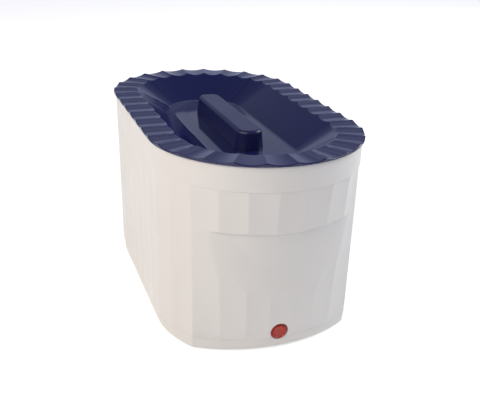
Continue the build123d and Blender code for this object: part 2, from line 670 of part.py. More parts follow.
def pan_screws(places, seat):
    """Pan-head screws that point up: heads under the seat, shanks above it, slots below."""
    with BuildSketch(Plane.XY.offset(seat)) as heads:
        with Locations(*places):
            Circle(SCREW_HEAD_RADIUS)
    extrude(heads.sketch, amount=-SCREW_HEAD_HEIGHT)
    with BuildSketch(Plane.XY.offset(seat)) as shanks:
        with Locations(*places):
            Circle(SCREW_RADIUS)
    extrude(shanks.sketch, amount=SCREW_LENGTH)
    with BuildSketch(Plane.XY.offset(seat - SCREW_HEAD_HEIGHT)) as slots:
        with Locations(*places):
            Rectangle(2 * SCREW_HEAD_RADIUS - 2 * SLOT_WIDTH, SLOT_WIDTH)
            Rectangle(SLOT_WIDTH, 2 * SCREW_HEAD_RADIUS - 2 * SLOT_WIDTH)
    extrude(slots.sketch, amount=SLOT_DEPTH, mode=Mode.SUBTRACT)


with BuildPart() as handle_screws:
    pan_screws([(0, -HANDLE_SCREW_SPAN / 2), (0, HANDLE_SCREW_SPAN / 2)], LID_UNDERSIDE)
handle_screws.part.label = "handle_screws"
export_step(handle_screws.part, "parts/handle_screws.step")

# Where things pass through the mat, the pad and the retainer plate
ROD_PLACES = [(0, -TANK_RUN - ROD_OFFSET), (0, TANK_RUN + ROD_OFFSET)]
SENSOR_PLACES = [(SENSOR_X, -SENSOR_Y), (SENSOR_X, SENSOR_Y)]


def under_tank_sheet(height, thickness, radius):
    """Flat sheet under the tank with its rod holes and its windows for the sensors."""
    with BuildSketch(Plane.XY.offset(height)) as sheet:
        ring_outline(radius, TANK_RUN)
        with Locations(*ROD_PLACES):
            Circle(ROD_RADIUS + ROD_CLEARANCE, mode=Mode.SUBTRACT)
        with Locations(*SENSOR_PLACES):
            RectangleRounded(2 * SENSOR_RADIUS + WINDOW_CLEARANCE,
                             SENSOR_PLATE_LENGTH + WINDOW_CLEARANCE, SENSOR_RADIUS / 2,
                             mode=Mode.SUBTRACT)
    extrude(sheet.sketch, amount=thickness)


def lead_block_window(height, thickness):
    """Window for the heater's lead block."""
    with BuildSketch(Plane.XY.offset(height)) as window:
        with Locations((LEAD_BLOCK_X, 0)):
            Rectangle(LEAD_BLOCK_WIDTH + WINDOW_CLEARANCE, LEAD_BLOCK_LENGTH + WINDOW_CLEARANCE)
    extrude(window.sketch, amount=thickness, mode=Mode.SUBTRACT)


# Heater mat with its moulded lead block
with BuildPart() as heater_mat:
    under_tank_sheet(MAT_BOTTOM, MAT_THICKNESS, MAT_RADIUS)
    with BuildSketch(Plane.XY.offset(MAT_BOTTOM)):
        with Locations((LEAD_BLOCK_X, 0)):
            RectangleRounded(LEAD_BLOCK_WIDTH, LEAD_BLOCK_LENGTH, LEAD_BLOCK_LENGTH / 4)
    extrude(amount=-LEAD_BLOCK_HEIGHT)
heater_mat.part.label = "heater_mat"
export_step(heater_mat.part, "parts/heater_mat.step")

# Insulation pad
with BuildPart() as insulation_pad:
    under_tank_sheet(PAD_BOTTOM, PAD_THICKNESS, MAT_RADIUS)
    lead_block_window(PAD_BOTTOM, PAD_THICKNESS)
insulation_pad.part.label = "insulation_pad"
export_step(insulation_pad.part, "parts/insulation_pad.step")

# Retainer plate
with BuildPart() as retainer_plate:
    under_tank_sheet(RETAINER_BOTTOM, RETAINER_THICKNESS, MAT_RADIUS)
    lead_block_window(RETAINER_BOTTOM, RETAINER_THICKNESS)
retainer_plate.part.label = "retainer_plate"
export_step(retainer_plate.part, "parts/retainer_plate.step")

# Insulation wrap and its straps
WRAP_BOTTOM = TANK_BOTTOM + TANK_BOTTOM_RADIUS + WRAP_LIFT
WRAP_TOP = LEDGE_BOTTOM - WRAP_TOP_GAP
WRAP_OUTER = TANK_OUTER + WRAP_THICKNESS
with BuildPart() as insulation_wrap:
    with BuildSketch(Plane.XY.offset(WRAP_BOTTOM)):
        ring_outline(WRAP_OUTER, TANK_RUN)
        ring_outline(TANK_OUTER, TANK_RUN, mode=Mode.SUBTRACT)
    extrude(amount=WRAP_TOP - WRAP_BOTTOM)
insulation_wrap.part.label = "insulation_wrap"
export_step(insulation_wrap.part, "parts/insulation_wrap.step")

with BuildPart() as insulation_straps:
    for height in (WRAP_BOTTOM + STRAP_WIDTH, WRAP_TOP - 2 * STRAP_WIDTH):
        with BuildSketch(Plane.XY.offset(height)):
            ring_outline(WRAP_OUTER + STRAP_THICKNESS, TANK_RUN)
            ring_outline(WRAP_OUTER, TANK_RUN, mode=Mode.SUBTRACT)
        extrude(amount=STRAP_WIDTH)
insulation_straps.part.label = "insulation_straps"
export_step(insulation_straps.part, "parts/insulation_straps.step")

# Tie rods, welded to the tank, and their nuts
with BuildPart() as tie_rods:
    with BuildSketch(Plane.XY.offset(ROD_END)):
        with Locations(*ROD_PLACES):
            Circle(ROD_RADIUS)
    extrude(amount=TANK_BOTTOM - ROD_END)
    chamfer(tie_rods.edges().group_by(Axis.Z)[0], ROD_RADIUS / 6)
tie_rods.part.label = "tie_rods"
export_step(tie_rods.part, "parts/tie_rods.step")


def hex_nuts(places, top, height, radius, bore):
    """Hexagon nuts that hang from a face above them."""
    with BuildSketch(Plane.XY.offset(top)) as hexagons:
        with Locations(*places):
            RegularPolygon(radius, 6)
            Circle(bore, mode=Mode.SUBTRACT)
    extrude(hexagons.sketch, amount=-height)


with BuildPart() as tie_nuts:
    hex_nuts(ROD_PLACES, PLATE_BOTTOM, NUT_HEIGHT, NUT_RADIUS, ROD_RADIUS)
tie_nuts.part.label = "tie_nuts"
export_step(tie_nuts.part, "parts/tie_nuts.step")

with BuildPart() as retainer_nuts:
    hex_nuts(ROD_PLACES, RETAINER_BOTTOM, NUT_HEIGHT, NUT_RADIUS, ROD_RADIUS)
retainer_nuts.part.label = "retainer_nuts"
export_step(retainer_nuts.part, "parts/retainer_nuts.step")

# Thermostat and thermal cutoff, two like discs pressed up against the tank's floor
SENSOR_BOTTOM = TANK_BOTTOM - SENSOR_HEIGHT
SENSOR_PLATE_TOP = TANK_BOTTOM - SENSOR_PLATE_DROP
TERMINAL_END = SENSOR_BOTTOM - SENSOR_TERMINAL_LENGTH


def disc_sensor(place):
    """Sensor disc with its fixing plate and two terminals that point down."""
    x, y = place
    with BuildSketch(Plane.XY.offset(TANK_BOTTOM)) as disc:
        with Locations(place):
            Circle(SENSOR_RADIUS)
    extrude(disc.sketch, amount=-SENSOR_HEIGHT)
    with BuildSketch(Plane.XY.offset(SENSOR_PLATE_TOP)) as plate:
        with Locations(place):
            RectangleRounded(SENSOR_PLATE_WIDTH, SENSOR_PLATE_LENGTH, SENSOR_PLATE_WIDTH / 3)
        with Locations((x, y - SENSOR_STUD_SPAN / 2), (x, y + SENSOR_STUD_SPAN / 2)):
            Circle(SENSOR_STUD_RADIUS + SCREW_CLEARANCE, mode=Mode.SUBTRACT)
    extrude(plate.sketch, amount=-SENSOR_PLATE_THICKNESS)
    with BuildSketch(Plane.XY.offset(SENSOR_BOTTOM)) as blades:
        with Locations((x - SENSOR_TERMINAL_SPREAD / 2, y), (x + SENSOR_TERMINAL_SPREAD / 2, y)):
            Rectangle(BLADE_THICKNESS, BLADE_WIDTH)
    extrude(blades.sketch, amount=-SENSOR_TERMINAL_LENGTH)


with BuildPart() as thermostat:
    disc_sensor(SENSOR_PLACES[0])
thermostat.part.label = "thermostat"
export_step(thermostat.part, "parts/thermostat.step")

with BuildPart() as thermal_cutoff:
    disc_sensor(SENSOR_PLACES[1])
thermal_cutoff.part.label = "thermal_cutoff"
export_step(thermal_cutoff.part, "parts/thermal_cutoff.step")

STUD_PLACES = [
    (x, y + side * SENSOR_STUD_SPAN / 2) for x, y in SENSOR_PLACES for side in (-1, 1)
]
SENSOR_NUT_HEIGHT = 2 * SENSOR_STUD_RADIUS
SENSOR_NUT_TOP = SENSOR_PLATE_TOP - SENSOR_PLATE_THICKNESS
with BuildPart() as sensor_studs:
    with BuildSketch(Plane.XY.offset(TANK_BOTTOM)):
        with Locations(*STUD_PLACES):
            Circle(SENSOR_STUD_RADIUS)
    extrude(amount=SENSOR_NUT_TOP - SENSOR_NUT_HEIGHT - SENSOR_STUD_RADIUS - TANK_BOTTOM)
sensor_studs.part.label = "sensor_studs"
export_step(sensor_studs.part, "parts/sensor_studs.step")

with BuildPart() as sensor_nuts:
    hex_nuts(STUD_PLACES, SENSOR_NUT_TOP, SENSOR_NUT_HEIGHT, 2 * SENSOR_STUD_RADIUS,
             SENSOR_STUD_RADIUS)
sensor_nuts.part.label = "sensor_nuts"
export_step(sensor_nuts.part, "parts/sensor_nuts.step")

# Base plate
FOOT_PLACES = [
    (x * (BASE_HALF_WIDTH - FOOT_SIDE_INSET), y * (BASE_FRONT - FOOT_END_INSET))
    for x in (-1, 1)
    for y in (-1, 1)
]
EARTH_PLACE = (EARTH_X, INLET_BLADE_END - EARTH_GAP)
with BuildPart() as base_plate:
    with BuildSketch(Plane.XY.offset(PLATE_BOTTOM)):
        base_outline(SHELL_INSET + PLATE_CLEARANCE)
        with Locations(*BOSS_PLACES):
            Circle(SCREW_RADIUS + SCREW_CLEARANCE, mode=Mode.SUBTRACT)
        with Locations(*FOOT_PLACES):
            Circle(FOOT_STEM_RADIUS, mode=Mode.SUBTRACT)
        with Locations(*ROD_PLACES):
            Circle(ROD_RADIUS + ROD_CLEARANCE, mode=Mode.SUBTRACT)
        with Locations(EARTH_PLACE):
            Circle(EARTH_STUD_RADIUS, mode=Mode.SUBTRACT)
    extrude(amount=PLATE_THICKNESS)
base_plate.part.label = "base_plate"
export_step(base_plate.part, "parts/base_plate.step")

with BuildPart() as base_screws:
    pan_screws(BOSS_PLACES, PLATE_BOTTOM)
base_screws.part.label = "base_screws"
export_step(base_screws.part, "parts/base_screws.step")

# Rubber feet, pushed into the base plate
with BuildPart() as feet:
    with BuildSketch():
        with Locations(*FOOT_PLACES):
            Circle(FOOT_RADIUS)
    extrude(amount=PLATE_BOTTOM)
    chamfer(feet.edges().group_by(Axis.Z)[0], FOOT_RADIUS / 12)
    with BuildSketch(Plane.XY.offset(PLATE_BOTTOM)):
        with Locations(*FOOT_PLACES):
            Circle(FOOT_STEM_RADIUS)
    extrude(amount=PLATE_THICKNESS)
    with BuildSketch(Plane.XY.offset(PLATE_TOP)):
        with Locations(*FOOT_PLACES):
            Circle(FOOT_BARB_RADIUS)
    extrude(amount=FOOT_BARB_HEIGHT, taper=FOOT_BARB_TAPER)
feet.part.label = "feet"
export_step(feet.part, "parts/feet.step")

# Indicator lamp
with BuildPart() as lamp_body:
    with BuildSketch(Plane.XZ.offset(LAMP_SEAT)):
        with on_wall(LAMP_Z):
            Circle(LAMP_FLANGE_RADIUS)
    extrude(amount=LAMP_FLANGE_THICKNESS)
    fillet(lamp_body.edges().group_by(Axis.Y)[0], LAMP_FLANGE_THICKNESS / 3)
    with BuildSketch(Plane.XZ.offset(LAMP_SEAT)):
        with on_wall(LAMP_Z):
            Circle(LAMP_BARREL_RADIUS)
    extrude(amount=-LAMP_BARREL_LENGTH)
    with BuildSketch(Plane.XZ.offset(LAMP_FACE)):
        with on_wall(LAMP_Z):
            Circle(LENS_RADIUS)
    extrude(amount=-LENS_SINK, mode=Mode.SUBTRACT)
    with BuildSketch(Plane.XZ.offset(LAMP_SEAT - LAMP_BARREL_LENGTH)):
        with Locations((-LAMP_TERMINAL_SPREAD / 2, LAMP_Z), (LAMP_TERMINAL_SPREAD / 2, LAMP_Z)):
            Rectangle(BLADE_THICKNESS, BLADE_THICKNESS)
    extrude(amount=-LAMP_TERMINAL_LENGTH)
lamp_body.part.label = "lamp_body"
export_step(lamp_body.part, "parts/lamp_body.step")

# The lens has a dished face: a ball of this radius bites a shallow cap out of it
DISH_HALF_WIDTH = LENS_RADIUS - LENS_PROUD
DISH_BALL = (DISH_HALF_WIDTH**2 + LENS_DISH**2) / (2 * LENS_DISH)
with BuildPart() as lamp_lens:
    with BuildSketch(Plane.XZ.offset(LAMP_FACE - LENS_SINK)):
        with on_wall(LAMP_Z):
            Circle(LENS_RADIUS)
    extrude(amount=LENS_SINK + LENS_PROUD)
    fillet(lamp_lens.edges().group_by(Axis.Y)[0], LENS_PROUD / 2)
    with Locations((0, -LAMP_FACE - LENS_PROUD + LENS_DISH - DISH_BALL, LAMP_Z)):
        Sphere(DISH_BALL, mode=Mode.SUBTRACT)
lamp_lens.part.label = "lamp_lens"
export_step(lamp_lens.part, "parts/lamp_lens.step")

with BuildPart() as lamp_nut:
    with BuildSketch(Plane.XZ.offset(LAMP_PAD_FACE)):
        with on_wall(LAMP_Z):
            RegularPolygon(LAMP_NUT_RADIUS, 6)
            Circle(LAMP_BARREL_RADIUS, mode=Mode.SUBTRACT)
    extrude(amount=-LAMP_NUT_THICKNESS)
lamp_nut.part.label = "lamp_nut"
export_step(lamp_nut.part, "parts/lamp_nut.step")

# Power inlet: flange in the pocket, socket open to the back, three pins and three blades
PIN_PLACES = [(-PIN_SPREAD / 2, INLET_Z - PIN_RAISE), (PIN_SPREAD / 2, INLET_Z - PIN_RAISE),
              (0, INLET_Z + PIN_RAISE)]
with BuildPart() as power_inlet:
    with BuildSketch(Plane.XZ.offset(-INLET_SEAT)):
        with on_wall(INLET_Z):
            RectangleRounded(INLET_WIDTH + 2 * INLET_FLANGE, INLET_HEIGHT + 2 * INLET_FLANGE,
                             INLET_CORNER)
    extrude(amount=-INLET_FLANGE_THICKNESS)
    with BuildSketch(Plane.XZ.offset(-INLET_SEAT)):
        with on_wall(INLET_Z):
            RectangleRounded(INLET_WIDTH, INLET_HEIGHT, INLET_CORNER)
    extrude(amount=INLET_DEPTH)
    with BuildSketch(Plane.XZ.offset(-INLET_SEAT - INLET_FLANGE_THICKNESS)):
        with on_wall(INLET_Z):
            RectangleRounded(INLET_WIDTH - 2 * INLET_SOCKET_WALL,
                             INLET_HEIGHT - 2 * INLET_SOCKET_WALL, INLET_CORNER)
    extrude(amount=INLET_SOCKET_DEPTH, mode=Mode.SUBTRACT)
    with BuildSketch(Plane.XZ.offset(-INLET_SEAT)):
        with Locations(*PIN_PLACES):
            Rectangle(PIN_THICKNESS, PIN_WIDTH)
    extrude(amount=INLET_SOCKET_DEPTH)
    with BuildSketch(Plane.XZ.offset(-INLET_BACK)):
        with Locations(*PIN_PLACES):
            Rectangle(BLADE_THICKNESS, BLADE_WIDTH)
    extrude(amount=BLADE_LENGTH)
power_inlet.part.label = "power_inlet"
export_step(power_inlet.part, "parts/power_inlet.step")

# Terminal block: four ways, linked in pairs inside, the last one in line with the thermostat
OUTER_TERMINAL_X = SENSOR_X + SENSOR_TERMINAL_SPREAD / 2
INNER_TERMINAL_X = SENSOR_X - SENSOR_TERMINAL_SPREAD / 2
BLOCK_WAYS = [OUTER_TERMINAL_X - way * BLOCK_WAY for way in (3, 2, 1, 0)]
BLOCK_X = (BLOCK_WAYS[0] + BLOCK_WAYS[-1]) / 2
BLOCK_WIDTH = len(BLOCK_WAYS) * BLOCK_WAY + 2 * BLOCK_END_WALL
BLOCK_REAR = INLET_BLADE_END - BLOCK_GAP
BLOCK_FRONT = BLOCK_REAR - BLOCK_LENGTH
BLOCK_Y = (BLOCK_REAR + BLOCK_FRONT) / 2
BLOCK_SCREW_PLACES = [
    (x, BLOCK_Y + side * BLOCK_SCREW_SPAN / 2) for x in BLOCK_WAYS for side in (-1, 1)
]
BLOCK_TOP = PLATE_TOP + BLOCK_HEIGHT
with BuildPart() as terminal_block:
    with BuildSketch(Plane.XY.offset(PLATE_TOP)):
        with Locations((BLOCK_X, BLOCK_Y)):
            RectangleRounded(BLOCK_WIDTH, BLOCK_LENGTH, SLOT_WIDTH)
    extrude(amount=BLOCK_HEIGHT)
    with BuildSketch(Plane.XY.offset(BLOCK_TOP)):
        with Locations(*BLOCK_SCREW_PLACES):
            Circle(BLOCK_SCREW_RADIUS)
    extrude(amount=-BLOCK_SCREW_DEPTH, mode=Mode.SUBTRACT)
terminal_block.part.label = "terminal_block"
export_step(terminal_block.part, "parts/terminal_block.step")

with BuildPart() as block_screws:
    with BuildSketch(Plane.XY.offset(BLOCK_TOP - BLOCK_SCREW_DEPTH)):
        with Locations(*BLOCK_SCREW_PLACES):
            Circle(BLOCK_SCREW_RADIUS)
    extrude(amount=BLOCK_SCREW_DEPTH - SLOT_DEPTH)
    with BuildSketch(Plane.XY.offset(BLOCK_TOP - SLOT_DEPTH)):
        with Locations(*BLOCK_SCREW_PLACES):
            Rectangle(2 * BLOCK_SCREW_RADIUS, SLOT_WIDTH)
    extrude(amount=-SLOT_DEPTH, mode=Mode.SUBTRACT)
block_screws.part.label = "block_screws"
export_step(block_screws.part, "parts/block_screws.step")

# Earth point
with BuildPart() as earth_stud:
    with BuildSketch(Plane.XY.offset(PLATE_BOTTOM)):
        with Locations(EARTH_PLACE):
            Circle(EARTH_STUD_RADIUS)
    extrude(amount=EARTH_STUD_LENGTH)
earth_stud.part.label = "earth_stud"
export_step(earth_stud.part, "parts/earth_stud.step")

TAG_REACH = EARTH_NUT_RADIUS + TAG_NECK + TAG_BARREL_LENGTH
TAG_BARREL_END = INLET_BLADE_END - EARTH_GAP + TAG_REACH
TAG_BARREL_START = TAG_BARREL_END - TAG_BARREL_LENGTH
with BuildPart() as earth_tag:
    with BuildSketch(Plane.XY.offset(PLATE_TOP)):
        with Locations(EARTH_PLACE):
            Circle(TAG_RADIUS)
            Rectangle(TAG_BARREL_WIDTH, TAG_REACH, align=(Align.CENTER, Align.MIN))
            Circle(EARTH_STUD_RADIUS, mode=Mode.SUBTRACT)
    extrude(amount=TAG_THICKNESS)
    with BuildSketch(Plane.XY.offset(PLATE_TOP)):
        with Locations((EARTH_X, TAG_BARREL_START)):
            Rectangle(TAG_BARREL_WIDTH, TAG_BARREL_LENGTH, align=(Align.CENTER, Align.MIN))
    extrude(amount=TAG_BARREL_HEIGHT)
earth_tag.part.label = "earth_tag"
export_step(earth_tag.part, "parts/earth_tag.step")

with BuildPart() as earth_nut:
    hex_nuts([EARTH_PLACE], PLATE_TOP + TAG_THICKNESS + EARTH_NUT_HEIGHT, EARTH_NUT_HEIGHT,
             EARTH_NUT_RADIUS, EARTH_STUD_RADIUS)
earth_nut.part.label = "earth_nut"
export_step(earth_nut.part, "parts/earth_nut.step")


def lead(points):
    """Round lead along straight runs joined by the widest arcs that the runs leave room for."""
    radii = []
    for before, corner, after in zip(points, points[1:], points[2:]):
        first = Vector(*corner) - Vector(*before)
        second = Vector(*after) - Vector(*corner)
        turn = radians(first.get_angle(second))
        radii.append(0.45 * min(first.length, second.length) / tan(turn / 2))
    print("lead radii", [round(radius, 1) for radius in radii])
    with BuildLine() as path:
        FilletPolyline(*points, radius=radii)
    with BuildSketch(Plane(origin=path.line @ 0, z_dir=path.line % 0)) as section:
        Circle(LEAD_RADIUS)
    sweep(section.sketch, path=path.line)


# Heights at which the leads run
LEAD_Z = PLATE_TOP + LEAD_RISE
LINK_Z = LEAD_Z + LINK_RISE
HEATER_LEAD_Z = (LINK_Z + TERMINAL_END) / 2
PIN_Z = INLET_Z - PIN_RAISE
TAG_LEAD_Z = PLATE_TOP + TAG_BARREL_HEIGHT / 2

# Mains leads, from the inlet's lower blades to the outer ways of the block
with BuildPart() as mains_leads:
    for blade_x, way_x in ((-PIN_SPREAD / 2, BLOCK_WAYS[0]), (PIN_SPREAD / 2, BLOCK_WAYS[3])):
        lead([(blade_x, INLET_BLADE_END, PIN_Z),
              (blade_x, INLET_BLADE_END - BLOCK_GAP / 4, PIN_Z),
              (way_x, BLOCK_REAR + BLOCK_GAP / 4, LEAD_Z),
              (way_x, BLOCK_REAR, LEAD_Z)])
mains_leads.part.label = "mains_leads"
export_step(mains_leads.part, "parts/mains_leads.step")

# Earth lead, from the inlet's upper blade to the tag's barrel
EARTH_DROP_Y = TAG_BARREL_END + TAG_LEAD_STRAIGHT
with BuildPart() as earth_lead:
    lead([(0, INLET_BLADE_END, INLET_Z + PIN_RAISE), (0, EARTH_DROP_Y, INLET_Z + PIN_RAISE),
          (EARTH_X, EARTH_DROP_Y, TAG_LEAD_Z), (EARTH_X, TAG_BARREL_END, TAG_LEAD_Z)])
earth_lead.part.label = "earth_lead"
export_step(earth_lead.part, "parts/earth_lead.step")

# Control lead, from the block along the base plate and up to the thermostat
with BuildPart() as control_lead:
    lead([(OUTER_TERMINAL_X, BLOCK_FRONT, LEAD_Z), (OUTER_TERMINAL_X, -SENSOR_Y, LEAD_Z),
          (OUTER_TERMINAL_X, -SENSOR_Y, TERMINAL_END)])
control_lead.part.label = "control_lead"
export_step(control_lead.part, "parts/control_lead.step")

# Link lead, from the thermostat to the cutoff
with BuildPart() as link_lead:
    lead([(INNER_TERMINAL_X, -SENSOR_Y, TERMINAL_END), (INNER_TERMINAL_X, -SENSOR_Y, LINK_Z),
          (INNER_TERMINAL_X, SENSOR_Y, LINK_Z), (INNER_TERMINAL_X, SENSOR_Y, TERMINAL_END)])
link_lead.part.label = "link_lead"
export_step(link_lead.part, "parts/link_lead.step")

# Heater leads, from the cutoff to the mat and from the mat back to the block
NEAR_LEAD_X = LEAD_BLOCK_X + LEAD_BLOCK_SPREAD / 2
FAR_LEAD_X = LEAD_BLOCK_X - LEAD_BLOCK_SPREAD / 2
LEAD_BLOCK_BOTTOM = MAT_BOTTOM - LEAD_BLOCK_HEIGHT
with BuildPart() as heater_leads:
    lead([(OUTER_TERMINAL_X, SENSOR_Y, TERMINAL_END), (OUTER_TERMINAL_X, SENSOR_Y, HEATER_LEAD_Z),
          (NEAR_LEAD_X, 0, HEATER_LEAD_Z), (NEAR_LEAD_X, 0, LEAD_BLOCK_BOTTOM)])
    lead([(FAR_LEAD_X, 0, LEAD_BLOCK_BOTTOM), (FAR_LEAD_X, 0, LEAD_Z),
          (FAR_LEAD_X, BLOCK_FRONT - HEATER_LEAD_RUN, LEAD_Z),
          (BLOCK_WAYS[0], BLOCK_FRONT - HEATER_LEAD_TURN, LEAD_Z),
          (BLOCK_WAYS[0], BLOCK_FRONT, LEAD_Z)])
heater_leads.part.label = "heater_leads"
export_step(heater_leads.part, "parts/heater_leads.step")

# Lamp leads, along the base plate to the front
LAMP_WAYS = BLOCK_WAYS[1:3]
LAMP_LEAD_TURN_Y = LAMP_LEAD_RISE - LAMP_BACK
with BuildPart() as lamp_leads:
    for way_x, side in zip(LAMP_WAYS, (-1, 1)):
        terminal_x = side * LAMP_TERMINAL_SPREAD / 2
        lead([(way_x, BLOCK_FRONT, LEAD_Z), (way_x, LAMP_LEAD_TURN_Y, LEAD_Z),
              (terminal_x, LAMP_LEAD_TURN - LAMP_BACK, LAMP_Z),
              (terminal_x, -LAMP_BACK, LAMP_Z)])
lamp_leads.part.label = "lamp_leads"
export_step(lamp_leads.part, "parts/lamp_leads.step")

# Clips on the base plate that hold the lamp leads
CLIP_MIDDLE = sum(LAMP_WAYS) / 2
CLIP_ROWS = (LAMP_LEAD_TURN_Y + CLIP_SETBACK, BLOCK_FRONT - CLIP_SETBACK)
with BuildPart() as lead_clips:
    with BuildSketch(Plane.XY.offset(PLATE_TOP)):
        with Locations(*[(CLIP_MIDDLE, clip_y) for clip_y in CLIP_ROWS]):
            Rectangle(BLOCK_WAY + 2 * CLIP_EDGE, CLIP_LENGTH)
    extrude(amount=CLIP_HEIGHT)
    for clip_y in CLIP_ROWS:
        with BuildSketch(Plane.XZ.offset(-clip_y - CLIP_LENGTH / 2)):
            with Locations(*[(x, LEAD_Z) for x in LAMP_WAYS]):
                Circle(LEAD_RADIUS + LEAD_CLEARANCE)
        extrude(amount=CLIP_LENGTH, mode=Mode.SUBTRACT)
lead_clips.part.label = "lead_clips"
export_step(lead_clips.part, "parts/lead_clips.step")
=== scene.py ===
"""A paraffin bath for hands and feet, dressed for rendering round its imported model.

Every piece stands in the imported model's frame: +Z is up, the indicator lamp's end faces -Y and
the origin is the middle of the footprint. The classes hold their sizes in millimetres, and
Mesher turns them to metres.
"""

import json
import logging
import math
from dataclasses import dataclass
from enum import Enum

import bmesh
import bpy
import numpy as np
from mathutils import Matrix, Vector

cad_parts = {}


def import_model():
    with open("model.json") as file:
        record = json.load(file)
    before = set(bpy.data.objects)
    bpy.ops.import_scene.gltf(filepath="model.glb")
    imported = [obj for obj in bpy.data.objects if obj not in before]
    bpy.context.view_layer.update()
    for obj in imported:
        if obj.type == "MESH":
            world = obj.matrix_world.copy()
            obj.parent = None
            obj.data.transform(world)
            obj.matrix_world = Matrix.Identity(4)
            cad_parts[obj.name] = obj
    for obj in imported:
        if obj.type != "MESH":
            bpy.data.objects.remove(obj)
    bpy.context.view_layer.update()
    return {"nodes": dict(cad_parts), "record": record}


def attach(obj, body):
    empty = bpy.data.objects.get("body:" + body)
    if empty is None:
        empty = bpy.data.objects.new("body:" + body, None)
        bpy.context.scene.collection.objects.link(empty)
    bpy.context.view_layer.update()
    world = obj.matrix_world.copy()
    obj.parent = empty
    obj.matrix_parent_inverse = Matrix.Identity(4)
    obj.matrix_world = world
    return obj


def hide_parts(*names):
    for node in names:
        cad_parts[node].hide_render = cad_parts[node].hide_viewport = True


log = logging.getLogger("paraffin_bath")

MM = 0.001

# A Wave texture draws about this many bands to a unit at a scale of 1
WAVE_BANDS = 3.14


class Body(Enum):
    """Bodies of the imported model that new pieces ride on."""

    BASE = "base"
    COVER = "cover"


class Round(Enum):
    """How a grid of points closes along its profile."""

    OPEN = "open"
    LOOP = "loop"


def linked(name: str, data: bpy.types.ID) -> bpy.types.Object:
    """Makes an object of its data and adds it to the scene."""
    made = bpy.data.objects.new(name, data)
    bpy.context.scene.collection.objects.link(made)
    return made


@dataclass(frozen=True)
class Mesher:
    """Turns grids of points into meshes whose faces point outwards."""

    crease_degrees: float = 34.0
    weld: float = 0.004

    def grid(self, name: str, points: np.ndarray, closing: Round = Round.OPEN) -> bpy.types.Object:
        """Makes a mesh of a grid: each cell between two rows and two columns is one face.

        Args:
            name: Name of the new object.
            points: Rows by columns by 3, in millimetres. The columns go all the way round.
            closing: Whether the last row joins the first.

        Returns:
            The new object, at the origin.
        """
        rows, columns = points.shape[:2]
        row = np.arange(rows if closing is Round.LOOP else rows - 1)[:, None]
        column = np.arange(columns)[None, :]
        next_row = (row + 1) % rows
        next_column = (column + 1) % columns
        cells = np.stack([row * columns + column, row * columns + next_column,
                          next_row * columns + next_column, next_row * columns + column], axis=-1)
        mesh = bpy.data.meshes.new(name)
        vertices = points.reshape(-1, 3) * MM
        mesh.from_pydata(vertices.tolist(), [], cells.reshape(-1, 4).tolist())
        made = linked(name, mesh)
        self.tidy(mesh)
        return made

    def tidy(self, mesh: bpy.types.Mesh) -> None:
        """Welds doubled points, points the faces outwards and marks the sharp edges.

        Args:
            mesh: The mesh to tidy.
        """
        work = bmesh.new()
        work.from_mesh(mesh)
        bmesh.ops.remove_doubles(work, verts=work.verts, dist=self.weld * MM)
        bmesh.ops.dissolve_degenerate(work, edges=work.edges, dist=self.weld * MM)
        bmesh.ops.recalc_face_normals(work, faces=work.faces)
        work.to_mesh(mesh)
        work.free()
        mesh.shade_smooth()
        mesh.set_sharp_from_angle(angle=math.radians(self.crease_degrees))

    def cut(self, target: bpy.types.Object, cutter: bpy.types.Object) -> None:
        """Takes one closed mesh out of another and removes the cutter.

        Args:
            target: The piece that is cut.
            cutter: The closed mesh that is taken out of it.
        """
        work = target.modifiers.new("cut", "BOOLEAN")
        work.operation = "DIFFERENCE"
        work.solver = "EXACT"
        work.object = cutter
        graph = bpy.context.evaluated_depsgraph_get()
        made = bpy.data.meshes.new_from_object(target.evaluated_get(graph))
        target.modifiers.clear()
        old, target.data = target.data, made
        bpy.data.meshes.remove(old)
        bpy.data.objects.remove(cutter)
        self.tidy(target.data)


def arc(turns: int) -> tuple[np.ndarray, np.ndarray]:
    """Sines and cosines of a quarter turn in equal steps, both ends included.

    Args:
        turns: How many steps the quarter turn has.

    Returns:
        The sines, from 0 to 1, and the cosines, from 1 to 0.
    """
    angle = np.linspace(0, math.pi / 2, turns + 1)
    return np.sin(angle), np.cos(angle)


def lathe(profile: np.ndarray, steps: int, centre: tuple[float, float, float]) -> np.ndarray:
    """Turns a profile about an axis along Y: x = r sin a, z = r cos a, y as given.

    Args:
        profile: Rows of radius and y, in millimetres.
        steps: How many columns go round.
        centre: Where the axis passes, in millimetres.

    Returns:
        The grid of points.
    """
    angle = np.linspace(0, 2 * math.pi, steps, endpoint=False)[None, :]
    radius, along = profile[:, :1], profile[:, 1:]
    across = radius * np.sin(angle)
    up = radius * np.cos(angle)
    return np.stack([across, along + 0 * angle, up], axis=-1) + np.array(centre)


def across_flute(steps: tuple[float, ...]) -> np.ndarray:
    """Shares of a flute's width, close together beside the ridges on both its sides.

    Args:
        steps: Shares from a ridge to short of the middle.

    Returns:
        Those shares, the middle, and the mirror image up to the next ridge.
    """
    return np.array([*steps, 0.5, *(1 - s for s in steps[:0:-1])])


